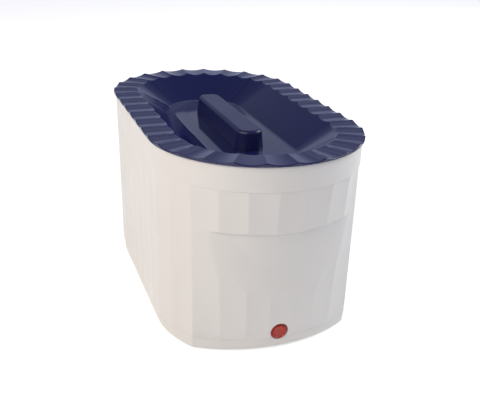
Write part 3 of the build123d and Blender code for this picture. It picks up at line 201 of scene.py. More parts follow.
@dataclass(frozen=True)
class Plan:
    """Plan of the bath: straight sides between round ends, counted round in flutes.

    A place is a number of flutes, from the middle of the front towards +X. Round an end the
    chords of two flutes meet with the end slope on either side of their ridge. A place lies
    round an end where the cosine of its turn is above the side cosine.
    """

    side_run: float = 86.0
    flutes_per_end: int = 12
    flutes_per_side: int = 6
    collar_radius: float = 108.5
    half_width: float = 107.0
    reach: float = 88.0
    end_radius: float = 166.0
    flute_hollow: float = 0.9
    end_hollow: float = 0.35
    end_slope: float = 0.13
    ridge_softness: float = 0.8
    side_cosine: float = 0.01

    @property
    def count(self) -> int:
        """How many flutes go all the way round."""
        return 2 * (self.flutes_per_end + self.flutes_per_side)

    def guide(self, place: np.ndarray) -> tuple[np.ndarray, np.ndarray, np.ndarray]:
        """Centre line and outward direction of each place.

        Round an end the centre stays and the direction turns evenly. Along a side the
        direction is square to it and the centre moves evenly.

        Args:
            place: Places in flutes.

        Returns:
            Centres and directions, as rows of x and y, and the turn from the front in degrees.
        """
        half_end = self.flutes_per_end / 2
        knots = np.cumsum([0, half_end, self.flutes_per_side, self.flutes_per_end,
                           self.flutes_per_side, half_end])
        around = np.mod(place, self.count)
        turn = np.interp(around, knots, [0, 90, 90, 270, 270, 360])
        along = np.interp(around, knots, np.array([-1, -1, 1, 1, -1, -1]) * self.side_run)
        angle = np.radians(turn)
        centre = np.stack([0 * along, along], axis=-1)
        direction = np.stack([np.sin(angle), -np.cos(angle)], axis=-1)
        return centre, direction, turn

    def on_end(self, turn: np.ndarray) -> np.ndarray:
        """Whether each turn, in degrees from the front, belongs to a round end."""
        return np.abs(np.cos(np.radians(turn))) > self.side_cosine

    def foot_reach(self, turn: np.ndarray, inset: float) -> np.ndarray:
        """How far the foot's outline lies from the centre line, along each direction.

        The outline is a round of the half width, cut across each end by a broad arc. The
        distance to that arc from the round's centre is a.cos + root of (R squared less the
        square of a.sin), where a is how far out the arc's own centre lies.

        Args:
            turn: Directions, in degrees from the front.
            inset: How far the outline is drawn in.

        Returns:
            The distances.
        """
        toward = np.abs(np.cos(np.radians(turn)))
        aside = np.abs(np.sin(np.radians(turn)))
        out = self.reach - self.end_radius
        radius = self.end_radius - inset
        broad = out * toward + np.sqrt(radius**2 - (out * aside) ** 2)
        return np.minimum(broad, self.half_width - inset)

    def foot(self, place: np.ndarray, inset: float, height: float) -> np.ndarray:
        """Ring of points on the foot's smooth outline, drawn in by an inset."""
        centre, direction, turn = self.guide(place)
        reach = self.foot_reach(turn, inset)
        return self.raised(centre + direction * reach[:, None], height)

    def ring(self, place: np.ndarray, radius: float, height: float | np.ndarray,
             run: float | None = None) -> np.ndarray:
        """Ring of points on a stadium: straight sides and half circles of one radius."""
        centre, direction, _ = self.guide(place)
        share = (self.side_run if run is None else run) / self.side_run
        return self.raised(centre * share + direction * np.reshape(radius, (-1, 1)), height)

    @staticmethod
    def raised(flat: np.ndarray, height: float | np.ndarray) -> np.ndarray:
        """Gives rows of x and y their height."""
        up = np.broadcast_to(np.asarray(height, float), flat.shape[:1])
        return np.concatenate([flat, up[:, None]], axis=1)

    def flute_line(self, place: np.ndarray, foot: bool) -> np.ndarray:
        """Hollow arcs between ridges that stand on the outline.

        Between two ridges a point lies on their chord, pushed in by 4 h t (1 - t), where t is
        its share of the way and h the hollow, which is shallower round the ends than along
        the sides. Near a ridge it is pushed in by the difference between a hyperbola and its
        asymptotes, which rounds the ridge.

        Args:
            place: Places in flutes.
            foot: Whether the ridges stand on the foot's outline or under the collar.

        Returns:
            Rows of x and y.
        """
        flute = np.floor(place + 0.5)
        ends = []
        for edge in (flute - 0.5, flute + 0.5):
            centre, direction, turn = self.guide(edge)
            reach = self.foot_reach(turn, 0) if foot else np.full(len(edge), self.collar_radius)
            ends.append(centre + direction * reach[:, None])
        share = (place + 0.5 - flute)[:, None]
        chord = ends[1] - ends[0]
        width = np.linalg.norm(chord, axis=1, keepdims=True)
        inward = np.stack([-chord[:, 1], chord[:, 0]], axis=1) / width
        _, direction, turn = self.guide(place)
        from_end = np.mod(flute, self.count / 2) - self.flutes_per_end / 2
        on_side = (from_end >= 0) & (from_end <= self.flutes_per_side)
        depth = np.where(on_side, self.flute_hollow, self.end_hollow)[:, None]
        slope = 4 * depth / width + np.where(self.on_end(turn)[:, None], self.end_slope, 0)
        off_ridge = np.minimum(share, 1 - share) * width
        soften = slope * (np.hypot(off_ridge, self.ridge_softness) - off_ridge)
        hollow = 4 * depth * share * (1 - share)
        return ends[0] + chord * share + inward * hollow - direction * soften


@dataclass(frozen=True)
class Housing:
    """The white shell: foot band, fluted wall with a sunk panel, collar, rim and tank ledge.

    The panel's face runs out into the wall between the two heights of panel_foot, and curves
    out to its lip over the last lip_zone. The grid's rows lie close together in both.
    """

    plan: Plan = Plan()
    bottom: float = 2.5
    band_top: float = 15.0
    band_edge: float = 2.4
    band_inset: float = 1.8
    step_height: float = 181.0
    top: float = 206.2
    collar_edge: float = 1.5
    shell_inset: float = 4.6
    well_radius: float = 97.0
    well_fillet: float = 1.0
    ledge_top: float = 193.0
    ledge_thickness: float = 3.0
    opening_radius: float = 84.513
    opening_run: float = 76.0
    rim_skin: float = 2.8
    panel_radius: float = 155.0
    panel_centre: float = -25.0
    panel_top: float = 138.3
    panel_foot: tuple[float, float] = (52.0, 92.0)
    panel_turn: float = 54.0
    eave_radius: float = 117.0
    eave_centre: float = -72.2
    eave_slope: float = 58.0
    lip_radius: float = 0.9
    lip_zone: float = 20.0
    blend: float = 1.2
    wall: float = 2.8
    small_edge: float = 0.3
    lamp_height: float = 21.5
    lamp_seat: float = 172.3
    lamp_seat_radius: float = 9.5
    lamp_hole_radius: float = 6.2
    inlet_height: float = 33.5
    inlet_seat: float = 168.5
    pocket: tuple[float, float, float] = (33.4, 25.9, 5.0)
    window: tuple[float, float, float] = (27.4, 19.9, 3.0)
    inlet_pad: float = 3.0
    pad_size: tuple[float, float] = (43.0, 35.5)
    cutter_reach: float = 30.0
    steps: tuple[float, ...] = (0, 0.012, 0.03, 0.06, 0.11, 0.18, 0.27, 0.38)

    def places(self) -> np.ndarray:
        """Columns of the grid: close together beside the ridges."""
        flutes = np.arange(-0.5, self.plan.count - 1)[:, None]
        return (flutes + across_flute(self.steps)[None, :]).ravel()

    def wall_at(self, place: np.ndarray, height: float | np.ndarray,
                depth: float | np.ndarray = 0.0) -> np.ndarray:
        """Ring on the leaning fluted wall, straight between the foot's flutes and the collar's.

        Args:
            place: Places in flutes.
            height: Height of each point.
            depth: How far each point is pushed in.

        Returns:
            The ring of points.
        """
        share = (np.broadcast_to(height, place.shape) - self.band_top) / (
            self.step_height - self.band_top)
        low = self.plan.flute_line(place, True)
        high = self.plan.flute_line(place, False)
        _, direction, _ = self.plan.guide(place)
        flat = low + (high - low) * share[:, None]
        push = np.broadcast_to(depth, place.shape)[:, None]
        return self.plan.raised(flat - direction * push, height)

    def sunk(self, place: np.ndarray, height: float | np.ndarray) -> np.ndarray:
        """How far the panel lies behind the fluted wall, and zero where it would stand out.

        The panel is the outer one of an upright drum and of a cone that opens upwards to the
        lip. Along a direction n, from a wall point p relative to a circle's centre, the depth
        to that circle is p.n less the root of R squared - p.p + (p.n) squared. The two blend
        by their mean less half the root of their difference squared and the blend squared.

        Args:
            place: Places in flutes.
            height: Height of each point.

        Returns:
            The depths.
        """
        _, direction, _ = self.plan.guide(place)
        height = np.broadcast_to(height, place.shape)
        wall = self.wall_at(place, height)[:, :2]
        drop = (self.panel_top - height) * math.tan(math.radians(self.eave_slope))
        depths = []
        for centre, radius in ((self.panel_centre, self.panel_radius),
                               (self.eave_centre, self.eave_radius - drop)):
            point = wall - np.array([0, centre])
            ahead = (point * direction).sum(axis=1)
            room = radius**2 - (point**2).sum(axis=1) + ahead**2
            depths.append(ahead - np.sqrt(np.maximum(room, 0)))
        drum, cone = depths
        depth = (drum + cone) / 2 - np.hypot(drum - cone, self.blend) / 2
        in_front = direction[:, 1] < -math.cos(math.radians(self.panel_turn))
        low = np.clip((self.panel_top - height) / self.lip_radius, 0, 1)
        return np.where(in_front, np.maximum(depth, 0), 0) * low

    def outside(self, place: np.ndarray) -> list[np.ndarray]:
        """Rings up the outside, from the foot's underside to the collar's foot.

        Inside the panel the wall's points are pushed back to the sunk face.
        """
        plan = self.plan
        edge = self.small_edge
        rings = [plan.foot(place, self.band_inset + self.band_edge * (1 - math.sin(angle)),
                           self.bottom + self.band_edge * (1 - math.cos(angle)))
                 for angle in np.linspace(0, math.pi / 2, 7)]
        rings += [plan.foot(place, self.band_inset, self.band_top - 1),
                  plan.foot(place, self.band_inset, self.band_top),
                  self.wall_at(place, self.band_top, edge),
                  self.wall_at(place, self.band_top + edge * 0.3, edge * 0.3)]
        lip, zone = self.panel_top, self.lip_zone
        low, high = self.panel_foot
        heights = np.concatenate([
            np.linspace(self.band_top + edge, low - 2, 6), np.arange(low, high, 1.0),
            np.arange(high + 2, lip - zone, 3.0),
            np.linspace(lip - zone + 1, lip - self.lip_radius, 26),
            np.linspace(lip - self.lip_radius, lip, 6)[1:],
            np.linspace(lip + 1, self.step_height - edge, 8)])
        rings += [self.wall_at(place, z, self.sunk(place, z)) for z in heights]
        rings.append(self.wall_at(place, self.step_height, edge))
        return rings

    def rim(self, place: np.ndarray) -> list[np.ndarray]:
        """Rings over the collar, down into the well and out under the tank's ledge."""
        plan = self.plan
        edge = self.small_edge
        outer = plan.collar_radius
        rings = [plan.ring(place, outer - edge, self.step_height),
                 plan.ring(place, outer, self.step_height + edge),
                 plan.ring(place, outer, self.step_height + 2),
                 plan.ring(place, outer, self.top - self.collar_edge - 1)]
        rings += [plan.ring(place, outer - self.collar_edge * (1 - c),
                            self.top - self.collar_edge * (1 - s)) for s, c in zip(*arc(5))]
        well, ledge, run = self.well_radius, self.ledge_top, self.opening_run
        fillet = self.well_fillet
        under = ledge - self.ledge_thickness
        shell = outer - self.shell_inset
        stops = [(outer - 3, self.top, None), (well + 2 * edge, self.top, None),
                 (well + edge * 0.6, self.top - edge * 0.6, None), (well, self.top - 2 * edge, None),
                 (well, ledge + fillet, None), (well - 0.3 * fillet, ledge + 0.3 * fillet, None),
                 (well - fillet, ledge, None), (self.opening_radius + edge, ledge, run),
                 (self.opening_radius, ledge - edge, run),
                 (self.opening_radius, under, run),
                 (well + self.rim_skin, under, None),
                 (well + self.rim_skin, self.top - self.rim_skin, None),
                 (shell, self.top - self.rim_skin, None), (shell, self.step_height, None)]
        rings += [plan.ring(place, radius, height, at) for radius, height, at in stops]
        return rings

    def inside(self, place: np.ndarray) -> list[np.ndarray]:
        """Rings down the inner wall, which is straight but for the inlet's thick wall.

        It isn't set back behind the panel, so it stands out of the panel's face by up to
        3.6 mm near the middle of the front, from under the lip down to about half height.
        """
        plan = self.plan
        centre, direction, turn = plan.guide(place)
        low = plan.foot_reach(turn, self.shell_inset)
        high = plan.collar_radius - self.shell_inset
        lip = self.panel_top + self.wall
        pad_half, pad_tall = self.pad_size[0] / 2, self.pad_size[1] / 2
        plane = self.inlet_seat - self.inlet_pad - plan.side_run
        backward = np.maximum(direction[:, 1], 0.01)
        at_pad = (np.abs(direction[:, 0] * plane / backward) < pad_half) & (direction[:, 1] > 0.5)
        rings = []
        for height in (lip + 0.2, lip, 120, 97, 80, 64, self.inlet_height + pad_tall + 0.5,
                       self.inlet_height + pad_tall, self.inlet_height - pad_tall,
                       self.band_top + 0.3, self.band_top):
            share = (height - self.band_top) / (self.step_height - self.band_top)
            reach = low + (high - low) * share
            if abs(height - self.inlet_height) <= pad_tall:
                reach = np.where(at_pad, np.minimum(reach, plane / backward), reach)
            rings.append(plan.raised(centre + direction * reach[:, None], height))
        return rings

    def lamp_cutter(self, mesher: Mesher) -> bpy.types.Object:
        """Makes the stepped plug whose cut leaves the lamp's seat and its hole."""
        seat, far = -self.lamp_seat, self.cutter_reach
        profile = np.array([[0, seat - far], [self.lamp_seat_radius, seat - far],
                            [self.lamp_seat_radius, seat], [self.lamp_hole_radius, seat],
                            [self.lamp_hole_radius, seat + far], [0, seat + far]])
        return mesher.grid("lamp_cutter", lathe(profile, 64, (0, 0, self.lamp_height)))

    def inlet_cutter(self, mesher: Mesher) -> bpy.types.Object:
        """Makes the stepped plug whose cut leaves the inlet's window and its pocket."""
        seat, far = self.inlet_seat, self.cutter_reach
        rows = []
        for (width, height, corner), ends in ((self.window, (seat - far, seat)),
                                              (self.pocket, (seat, seat + far))):
            outline = rounded_box(width / 2, height / 2, corner, 6)
            rows += [np.stack([outline[:, 0], np.full(len(outline), along),
                               outline[:, 1] + self.inlet_height], axis=1) for along in ends]
        middle = np.array([0, 0, self.inlet_height])
        caps = [np.broadcast_to(middle + [0, rows[i][0, 1], 0], rows[i].shape) for i in (0, -1)]
        return mesher.grid("inlet_cutter", np.stack([caps[0], *rows, caps[1]]))

    def build(self, mesher: Mesher) -> bpy.types.Object:
        """Makes the shell as one closed mesh and cuts the lamp's and the inlet's seats."""
        place = self.places()
        rings = self.outside(place) + self.rim(place) + self.inside(place)
        shell = mesher.grid("housing_shell", np.stack(rings), Round.LOOP)
        mesher.cut(shell, self.lamp_cutter(mesher))
        mesher.cut(shell, self.inlet_cutter(mesher))
        return shell


def rounded_box(half_x: float, half_y: float, corner: float, steps: int) -> np.ndarray:
    """Outline of a rectangle with round corners, turning with the clock hands reversed.

    Each corner is a quarter circle about its own centre, and the sides join them.

    Args:
        half_x: Half the width.
        half_y: Half the length.
        corner: Radius of the corners.
        steps: Steps in each corner.

    Returns:
        Rows of x and y.
    """
    quarter = np.linspace(0, math.pi / 2, steps + 1)
    angle = (quarter[None, :] + np.arange(4)[:, None] * math.pi / 2).ravel()
    sign_x = np.repeat([1, -1, -1, 1], steps + 1)
    sign_y = np.repeat([1, 1, -1, -1], steps + 1)
    return np.stack([sign_x * (half_x - corner) + corner * np.cos(angle),
                     sign_y * (half_y - corner) + corner * np.sin(angle)], axis=1)


@dataclass(frozen=True)
class Lid:
    """The navy lid: a scalloped rim round a smooth sunk bowl."""

    plan: Plan = Plan()
    radius: float = 111.0
    top: float = 210.0
    rim_thickness: float = 3.8
    wall: float = 3.0
    bowl_radius: float = 85.0
    bowl_depth: float = 27.0
    wall_run: float = 40.6
    scallop: float = 2.2
    ridge_softness: float = 0.5
    edge: float = 0.8
    brow: float = 0.7
    floor_blend: float = 2.0
    groove_places: tuple[float, ...] = (13.907, 20.8)
    groove_depth: float = 1.4
    groove_half: tuple[float, float] = (0.009, 0.018)
    steps: tuple[float, ...] = (0, 0.008, 0.02, 0.04, 0.07, 0.12, 0.19, 0.28, 0.39)

    @property
    def floor(self) -> float:
        """Height of the bowl's floor."""
        return self.top - self.bowl_depth

    @property
    def spread(self) -> float:
        """How far the bowl's wall runs inwards for each millimetre that it goes down."""
        return self.wall_run / self.bowl_depth

    def outer_at(self, height: float) -> float:
        """Radius of the bowl's outer face at a height."""
        at_top = self.bowl_radius + self.wall * math.hypot(1, self.spread)
        return at_top - (self.top - height) * self.spread

    def places(self) -> np.ndarray:
        """Columns of the grid: close together beside the ridges and the bowl's two grooves."""
        ridges = (np.arange(self.plan.count)[:, None] + across_flute(self.steps)[None, :]).ravel()
        inner, outer = self.groove_half
        near = np.array([-2 * outer, -outer, -inner, 0, inner, outer, 2 * outer])
        grooves = (np.array(self.groove_places)[:, None] + near[None, :]).ravel()
        return np.unique(np.concatenate([ridges, grooves]))

    def groove(self, place: np.ndarray) -> np.ndarray:
        """Depth of the two fine grooves down the bowl's far wall, where its segments meet."""
        half = self.plan.count / 2
        off = [np.abs(np.mod(place - at + half, 2 * half) - half) for at in self.groove_places]
        return np.interp(np.min(off, axis=0), self.groove_half, (self.groove_depth, 0))

    def scoop(self, place: np.ndarray, radius: float | np.ndarray) -> np.ndarray:
        """Depth of the scallops: 4 d t (1 - t) between ridges, with the ridges rounded.

        Args:
            place: Places in flutes; the lid's ridges are at whole numbers.
            radius: How far out each point is, because the scallops narrow inwards at the ends.

        Returns:
            The depths below the lid's top.
        """
        share = place - np.floor(place)
        _, _, turn = self.plan.guide(place)
        pitch = math.radians(180 / self.plan.flutes_per_end)
        side = 2 * self.plan.side_run / self.plan.flutes_per_side
        width = np.where(self.plan.on_end(turn), radius * pitch, side)
        off_ridge = np.minimum(share, 1 - share) * width
        slope = 4 * self.scallop / width
        soften = slope * (np.hypot(off_ridge, self.ridge_softness) - off_ridge)
        return np.minimum(4 * self.scallop * share * (1 - share) + soften, self.scallop)

    def below(self, place: np.ndarray) -> list[np.ndarray]:
        """Rings from the middle of the underside, up the bowl's outer face and out to the rim."""
        edge = self.edge
        bottom = self.floor - self.wall
        underside = self.top - self.rim_thickness
        stops = ((0, bottom), (self.outer_at(bottom) * 0.6, bottom),
                 (self.outer_at(bottom) - 1.5, bottom),
                 (self.outer_at(bottom) + 0.4 * self.spread, bottom + 0.4),
                 (self.outer_at(bottom + 2), bottom + 2), (self.outer_at(bottom + 14), bottom + 14),
                 (self.outer_at(underside), underside), (self.radius - edge, underside),
                 (self.radius - edge * 0.3, underside + edge * 0.12),
                 (self.radius, underside + edge * 0.5))
        return [self.plan.ring(place, radius, height) for radius, height in stops]

    def rim(self, place: np.ndarray) -> list[np.ndarray]:
        """Rings over the rim's round edge, its scallops and the brow above the bowl."""
        plan, edge, brow = self.plan, self.edge, self.brow
        top = self.top - self.scoop(place, self.radius)
        rings = [plan.ring(place, self.radius - edge * (1 - c), top - edge * (1 - s))
                 for s, c in zip(*arc(5))]
        inner = self.scoop(place, self.bowl_radius)
        wavy = self.bowl_radius - inner * self.spread
        for share in (0.06, 0.3, 0.6, 0.85, 0.96):
            out = (self.radius - edge) + (wavy - self.radius + edge) * share
            rings.append(plan.ring(place, out, self.top - self.scoop(place, out)))
        for along, down in ((-brow, 0.0), (-brow * 0.4, 0.06), (brow * 0.3, 0.3), (brow, 0.8)):
            height = self.top - inner - brow * down / self.spread
            rings.append(plan.ring(place, wavy - along, height))
        return rings

    def bowl(self, place: np.ndarray) -> list[np.ndarray]:
        """Rings down the bowl's wall with its grooves, round the wall's foot and over the floor."""
        plan, foot = self.plan, self.floor_blend
        inner = self.scoop(place, self.bowl_radius)
        floor_radius = self.bowl_radius - self.wall_run
        rings = []
        for share in (0.08, 0.3, 0.6, 0.85, 0.95):
            height = self.top - inner - (self.bowl_depth - inner) * share
            out = self.bowl_radius - (self.top - height) * self.spread
            rings.append(plan.ring(place, out, height - self.groove(place)))
        for share in (0.25, 0.5, 0.75, 1.0):
            out = floor_radius + foot * (1 - 2 * share)
            rise = foot / self.spread * (1 - share) ** 2
            rings.append(plan.ring(place, out, self.floor + rise))
        rings += [plan.ring(place, out, self.floor) for out in (floor_radius - 6, 22.0, 12.0, 0.0)]
        return rings

    def build(self, mesher: Mesher) -> bpy.types.Object:
        """Makes the lid as one closed mesh, from the middle of its underside over its rim."""
        place = self.places()
        rings = self.below(place) + self.rim(place) + self.bowl(place)
        return mesher.grid("lid_shell", np.stack(rings))


@dataclass(frozen=True)
class Handle:
    """The long hollow bar that stands in the lid's bowl."""

    foot: float = 183.0
    height: float = 21.0
    half_x: float = 16.0
    half_y: float = 81.5
    corner: float = 14.5
    draw_in: float = 3.0
    end_draw: float = 0.8
    edge: float = 3.5
    wall: float = 3.0
    hem: float = 0.5
    least_corner: float = 0.2

    def ring(self, inset: float, rise: float) -> np.ndarray:
        """The bar's outline at a height, drawn in by the lean and by an inset.

        Args:
            inset: How far the outline is drawn in, on top of the lean.
            rise: Height above the bar's foot.

        Returns:
            The ring of points.
        """
        share = rise / self.height
        half_x = self.half_x - inset - self.draw_in * share
        half_y = self.half_y - inset - self.end_draw * share
        corner = max(self.corner - inset - self.draw_in * share, self.least_corner)
        return Plan.raised(rounded_box(half_x, half_y, corner, 12), self.foot + rise)

    def ridge(self, rise: float) -> np.ndarray:
        """The outline drawn in to the bar's middle line."""
        flat = rounded_box(self.half_x, self.half_y, self.corner, 12)
        flat = flat * np.array([0, (self.half_y - self.half_x) / self.half_y])
        return Plan.raised(flat, self.foot + rise)

    def build(self, mesher: Mesher) -> bpy.types.Object:
        """Makes the bar as one closed mesh, from its hollow's roof round its foot to its top.

        The top edge is a quarter circle: inset e (1 - sin) at e (1 - cos) below the top.
        """
        roof = self.height - self.wall
        rings = [self.ridge(roof), self.ring(self.wall + 2, roof),
                 self.ring(self.wall, roof - 2), self.ring(self.wall, 0),
                 self.ring(self.hem, 0), self.ring(0.15, self.hem * 0.4), self.ring(0, 1.0)]
        rings += [self.ring(0, rise) for rise in (4.0, 9.0, 14.0)]
        for angle in np.linspace(0, math.pi / 2, 10):
            rings.append(self.ring(self.edge * (1 - math.cos(angle)),
                                   self.height - self.edge * (1 - math.sin(angle))))
        rings += [self.ring(self.edge + 1, self.height), self.ring(self.edge + 5, self.height),
                  self.ridge(self.height)]
        return mesher.grid("handle_bar", np.stack(rings))


@dataclass(frozen=True)
class IndicatorLamp:
    """Round neon indicator: a flanged body with a dished red lens."""

    height: float = 21.5
    seat: float = 172.3
    flange: float = 1.6
    flange_radius: float = 9.3
    flange_edge: float = 0.7
    barrel_radius: float = 6.0
    barrel: float = 20.0
    barrel_edge: float = 0.5
    socket_gap: float = 0.05
    socket_edge: float = 0.3
    lens_radius: float = 7.2
    lens_proud: float = 1.4
    lens_sink: float = 1.0
    brim: float = 0.8
    brim_run: float = 0.5
    dish: float = 1.0
    dish_flare: float = 0.35
    steps: int = 72

    def turned(self, mesher: Mesher, name: str, profile: list[tuple[float, float]]) -> bpy.types.Object:
        """Turns a profile of radius and distance from the middle about the lamp's axis."""
        rows = np.array(profile, float) * np.array([1, -1])
        return mesher.grid(name, lathe(rows, self.steps, (0, 0, self.height)))

    def body(self, mesher: Mesher) -> bpy.types.Object:
        """Makes the flange and barrel, with a recess for the lens."""
        face = self.seat + self.flange
        back = self.seat - self.barrel
        edge, chamfer = self.flange_edge, self.barrel_edge
        profile = [(0, back), (self.barrel_radius - chamfer, back),
                   (self.barrel_radius, back + chamfer), (self.barrel_radius, self.seat),
                   (self.flange_radius, self.seat)]
        profile += [(self.flange_radius - edge * (1 - c), face - edge * (1 - s))
                    for s, c in zip(*arc(4))]
        socket = self.lens_radius + self.socket_gap
        profile += [(socket + self.socket_edge, face), (socket, face - self.socket_edge),
                    (socket, face - self.lens_sink), (0, face - self.lens_sink)]
        return self.turned(mesher, "lamp_bezel", profile)

    def lens(self, mesher: Mesher) -> bpy.types.Object:
        """Makes the lens: an upright rim, a rounded brim and a dish that is flat in the middle.

        The dish is shallower by a share of dish_flare at its edge, as (r / inner) to the fourth.
        """
        face = self.seat + self.flange
        front = face + self.lens_proud
        back = face - self.lens_sink
        brim = self.brim
        sine, cosine = arc(5)
        profile = [(0, back), (self.lens_radius, back), (self.lens_radius, front - brim)]
        profile += [(self.lens_radius - brim * (1 - c), front - brim * (1 - s))
                    for s, c in zip(sine[1:], cosine[1:])]
        inner = self.lens_radius - brim - self.brim_run
        profile += [(radius, front - self.dish * (1 - self.dish_flare * (radius / inner) ** 4))
                    for radius in np.linspace(inner, 0, 9)]
        return self.turned(mesher, "lens_cap", profile)


class Pattern(Enum):
    """Kinds of surface detail."""

    MOULDED = "moulded"
    BRUSHED = "brushed"
    SPANGLED = "spangled"
    WOVEN = "woven"
    FIBROUS = "fibrous"


def linear(hex_colour: str) -> tuple[float, float, float, float]:
    """Turns an sRGB hex value to the linear colour that shaders take.

    Args:
        hex_colour: Six hex digits after a hash sign.

    Returns:
        Linear red, green and blue, and an alpha of 1.
    """
    parts = np.array([int(hex_colour[i:i + 2], 16) for i in (1, 3, 5)]) / 255
    values = np.where(parts <= 0.04045, parts / 12.92, ((parts + 0.055) / 1.055) ** 2.4)
    return (*(float(v) for v in values), 1.0)


def cleared(owner: bpy.types.Material | bpy.types.World) -> bpy.types.NodeTree:
    """Turns on the nodes of a material or world and empties its tree."""
    owner.use_nodes = True
    owner.node_tree.nodes.clear()
    return owner.node_tree


def add_node(tree: bpy.types.NodeTree, kind: str, settings: dict | None = None,
             values: dict | None = None, links: dict | None = None) -> bpy.types.Node:
    """Adds a node with its settings, socket values and links.

    Args:
        tree: The node tree.
        kind: The node's type name.
        settings: Properties of the node.
        values: Values of its inputs, by name or number.
        links: Output sockets that go to its inputs, by name or number.

    Returns:
        The new node.
    """
    node = tree.nodes.new(kind)
    for name, value in (settings or {}).items():
        setattr(node, name, value)
    for name, value in (values or {}).items():
        node.inputs[name].default_value = value
    for name, socket in (links or {}).items():
        tree.links.new(socket, node.inputs[name])
    return node


@dataclass(frozen=True)
class Finish:
    """A material: what it is, its colour, and the detail of its surface.

    The grain is a real size in millimetres. The colour varies a little over patches of
    patch millimetres, between the two hex values. Light that goes in under a translucent
    surface comes out within about the depth, in millimetres.
    """

    name: str
    colour: str
    shade: str
    roughness: float
    grain: float
    relief: float
    patch: float = 40.0
    rough_spread: float = 0.05
    metallic: float = 0.0
    ior: float = 1.5
    pattern: Pattern = Pattern.MOULDED
    subsurface: float = 0.0
    depth: float = 2.0
    glow: float = 0.0
    stretch: tuple[float, float, float] = (1, 1, 1)

    def make(self) -> bpy.types.Material:
        """Builds the node material.

        Returns:
            The material.
        """
        made = bpy.data.materials.new(self.name)
        made.diffuse_color = linear(self.colour)
        tree = cleared(made)
        place = add_node(tree, "ShaderNodeTexCoord").outputs["Object"]
        mapped = add_node(tree, "ShaderNodeMapping", values={"Scale": self.stretch},
                          links={"Vector": place}).outputs["Vector"]
        patches = add_node(tree, "ShaderNodeTexNoise", values={"Scale": 1 / (self.patch * MM),
                                                               "Detail": 3.0},
                           links={"Vector": place}).outputs["Fac"]
        colour = add_node(tree, "ShaderNodeMix", {"data_type": "RGBA"},
                          {6: linear(self.colour), 7: linear(self.shade)},
                          {0: patches}).outputs[2]
        height = self.relief_socket(tree, mapped)
        rough = add_node(tree, "ShaderNodeMapRange",
                         values={"To Min": max(self.roughness - self.rough_spread, 0.02),
                                 "To Max": self.roughness + self.rough_spread},
                         links={"Value": patches}).outputs["Result"]
        bump = add_node(tree, "ShaderNodeBump", values={"Strength": 1.0,
                                                        "Distance": self.relief * MM},
                        links={"Height": height}).outputs["Normal"]
        values = {"Metallic": self.metallic, "Subsurface Weight": self.subsurface}
        if self.metallic == 0:
            values["IOR"] = self.ior
        if self.subsurface:
            values["Subsurface Scale"] = self.depth * MM
        if self.glow:
            values["Emission Color"] = linear(self.colour)
            values["Emission Strength"] = self.glow
        shader = add_node(tree, "ShaderNodeBsdfPrincipled", values=values,
                          links={"Base Color": colour, "Roughness": rough, "Normal": bump})
        add_node(tree, "ShaderNodeOutputMaterial", links={"Surface": shader.outputs["BSDF"]})
        return made

    def relief_socket(self, tree: bpy.types.NodeTree,
                      mapped: bpy.types.NodeSocket) -> bpy.types.NodeSocket:
        """Adds the pattern's texture and returns its height.

        Args:
            tree: The material's node tree.
            mapped: Coordinates, stretched where the pattern has a direction.

        Returns:
            The socket that holds the height.
        """
        scale = 1 / (self.grain * MM)
        if self.pattern is Pattern.SPANGLED:
            return add_node(tree, "ShaderNodeTexVoronoi", values={"Scale": scale},
                            links={"Vector": mapped}).outputs["Distance"]
        if self.pattern is Pattern.WOVEN:
            waves = [add_node(tree, "ShaderNodeTexWave", {"bands_direction": axis},
                              {"Scale": scale / WAVE_BANDS}, {"Vector": mapped}).outputs["Fac"]
                     for axis in ("X", "Y")]
            return add_node(tree, "ShaderNodeMath", {"operation": "MAXIMUM"},
                            links={0: waves[0], 1: waves[1]}).outputs[0]
        detail = 6.0 if self.pattern is Pattern.FIBROUS else 2.0
        return add_node(tree, "ShaderNodeTexNoise", values={"Scale": scale, "Detail": detail},
                        links={"Vector": mapped}).outputs["Fac"]


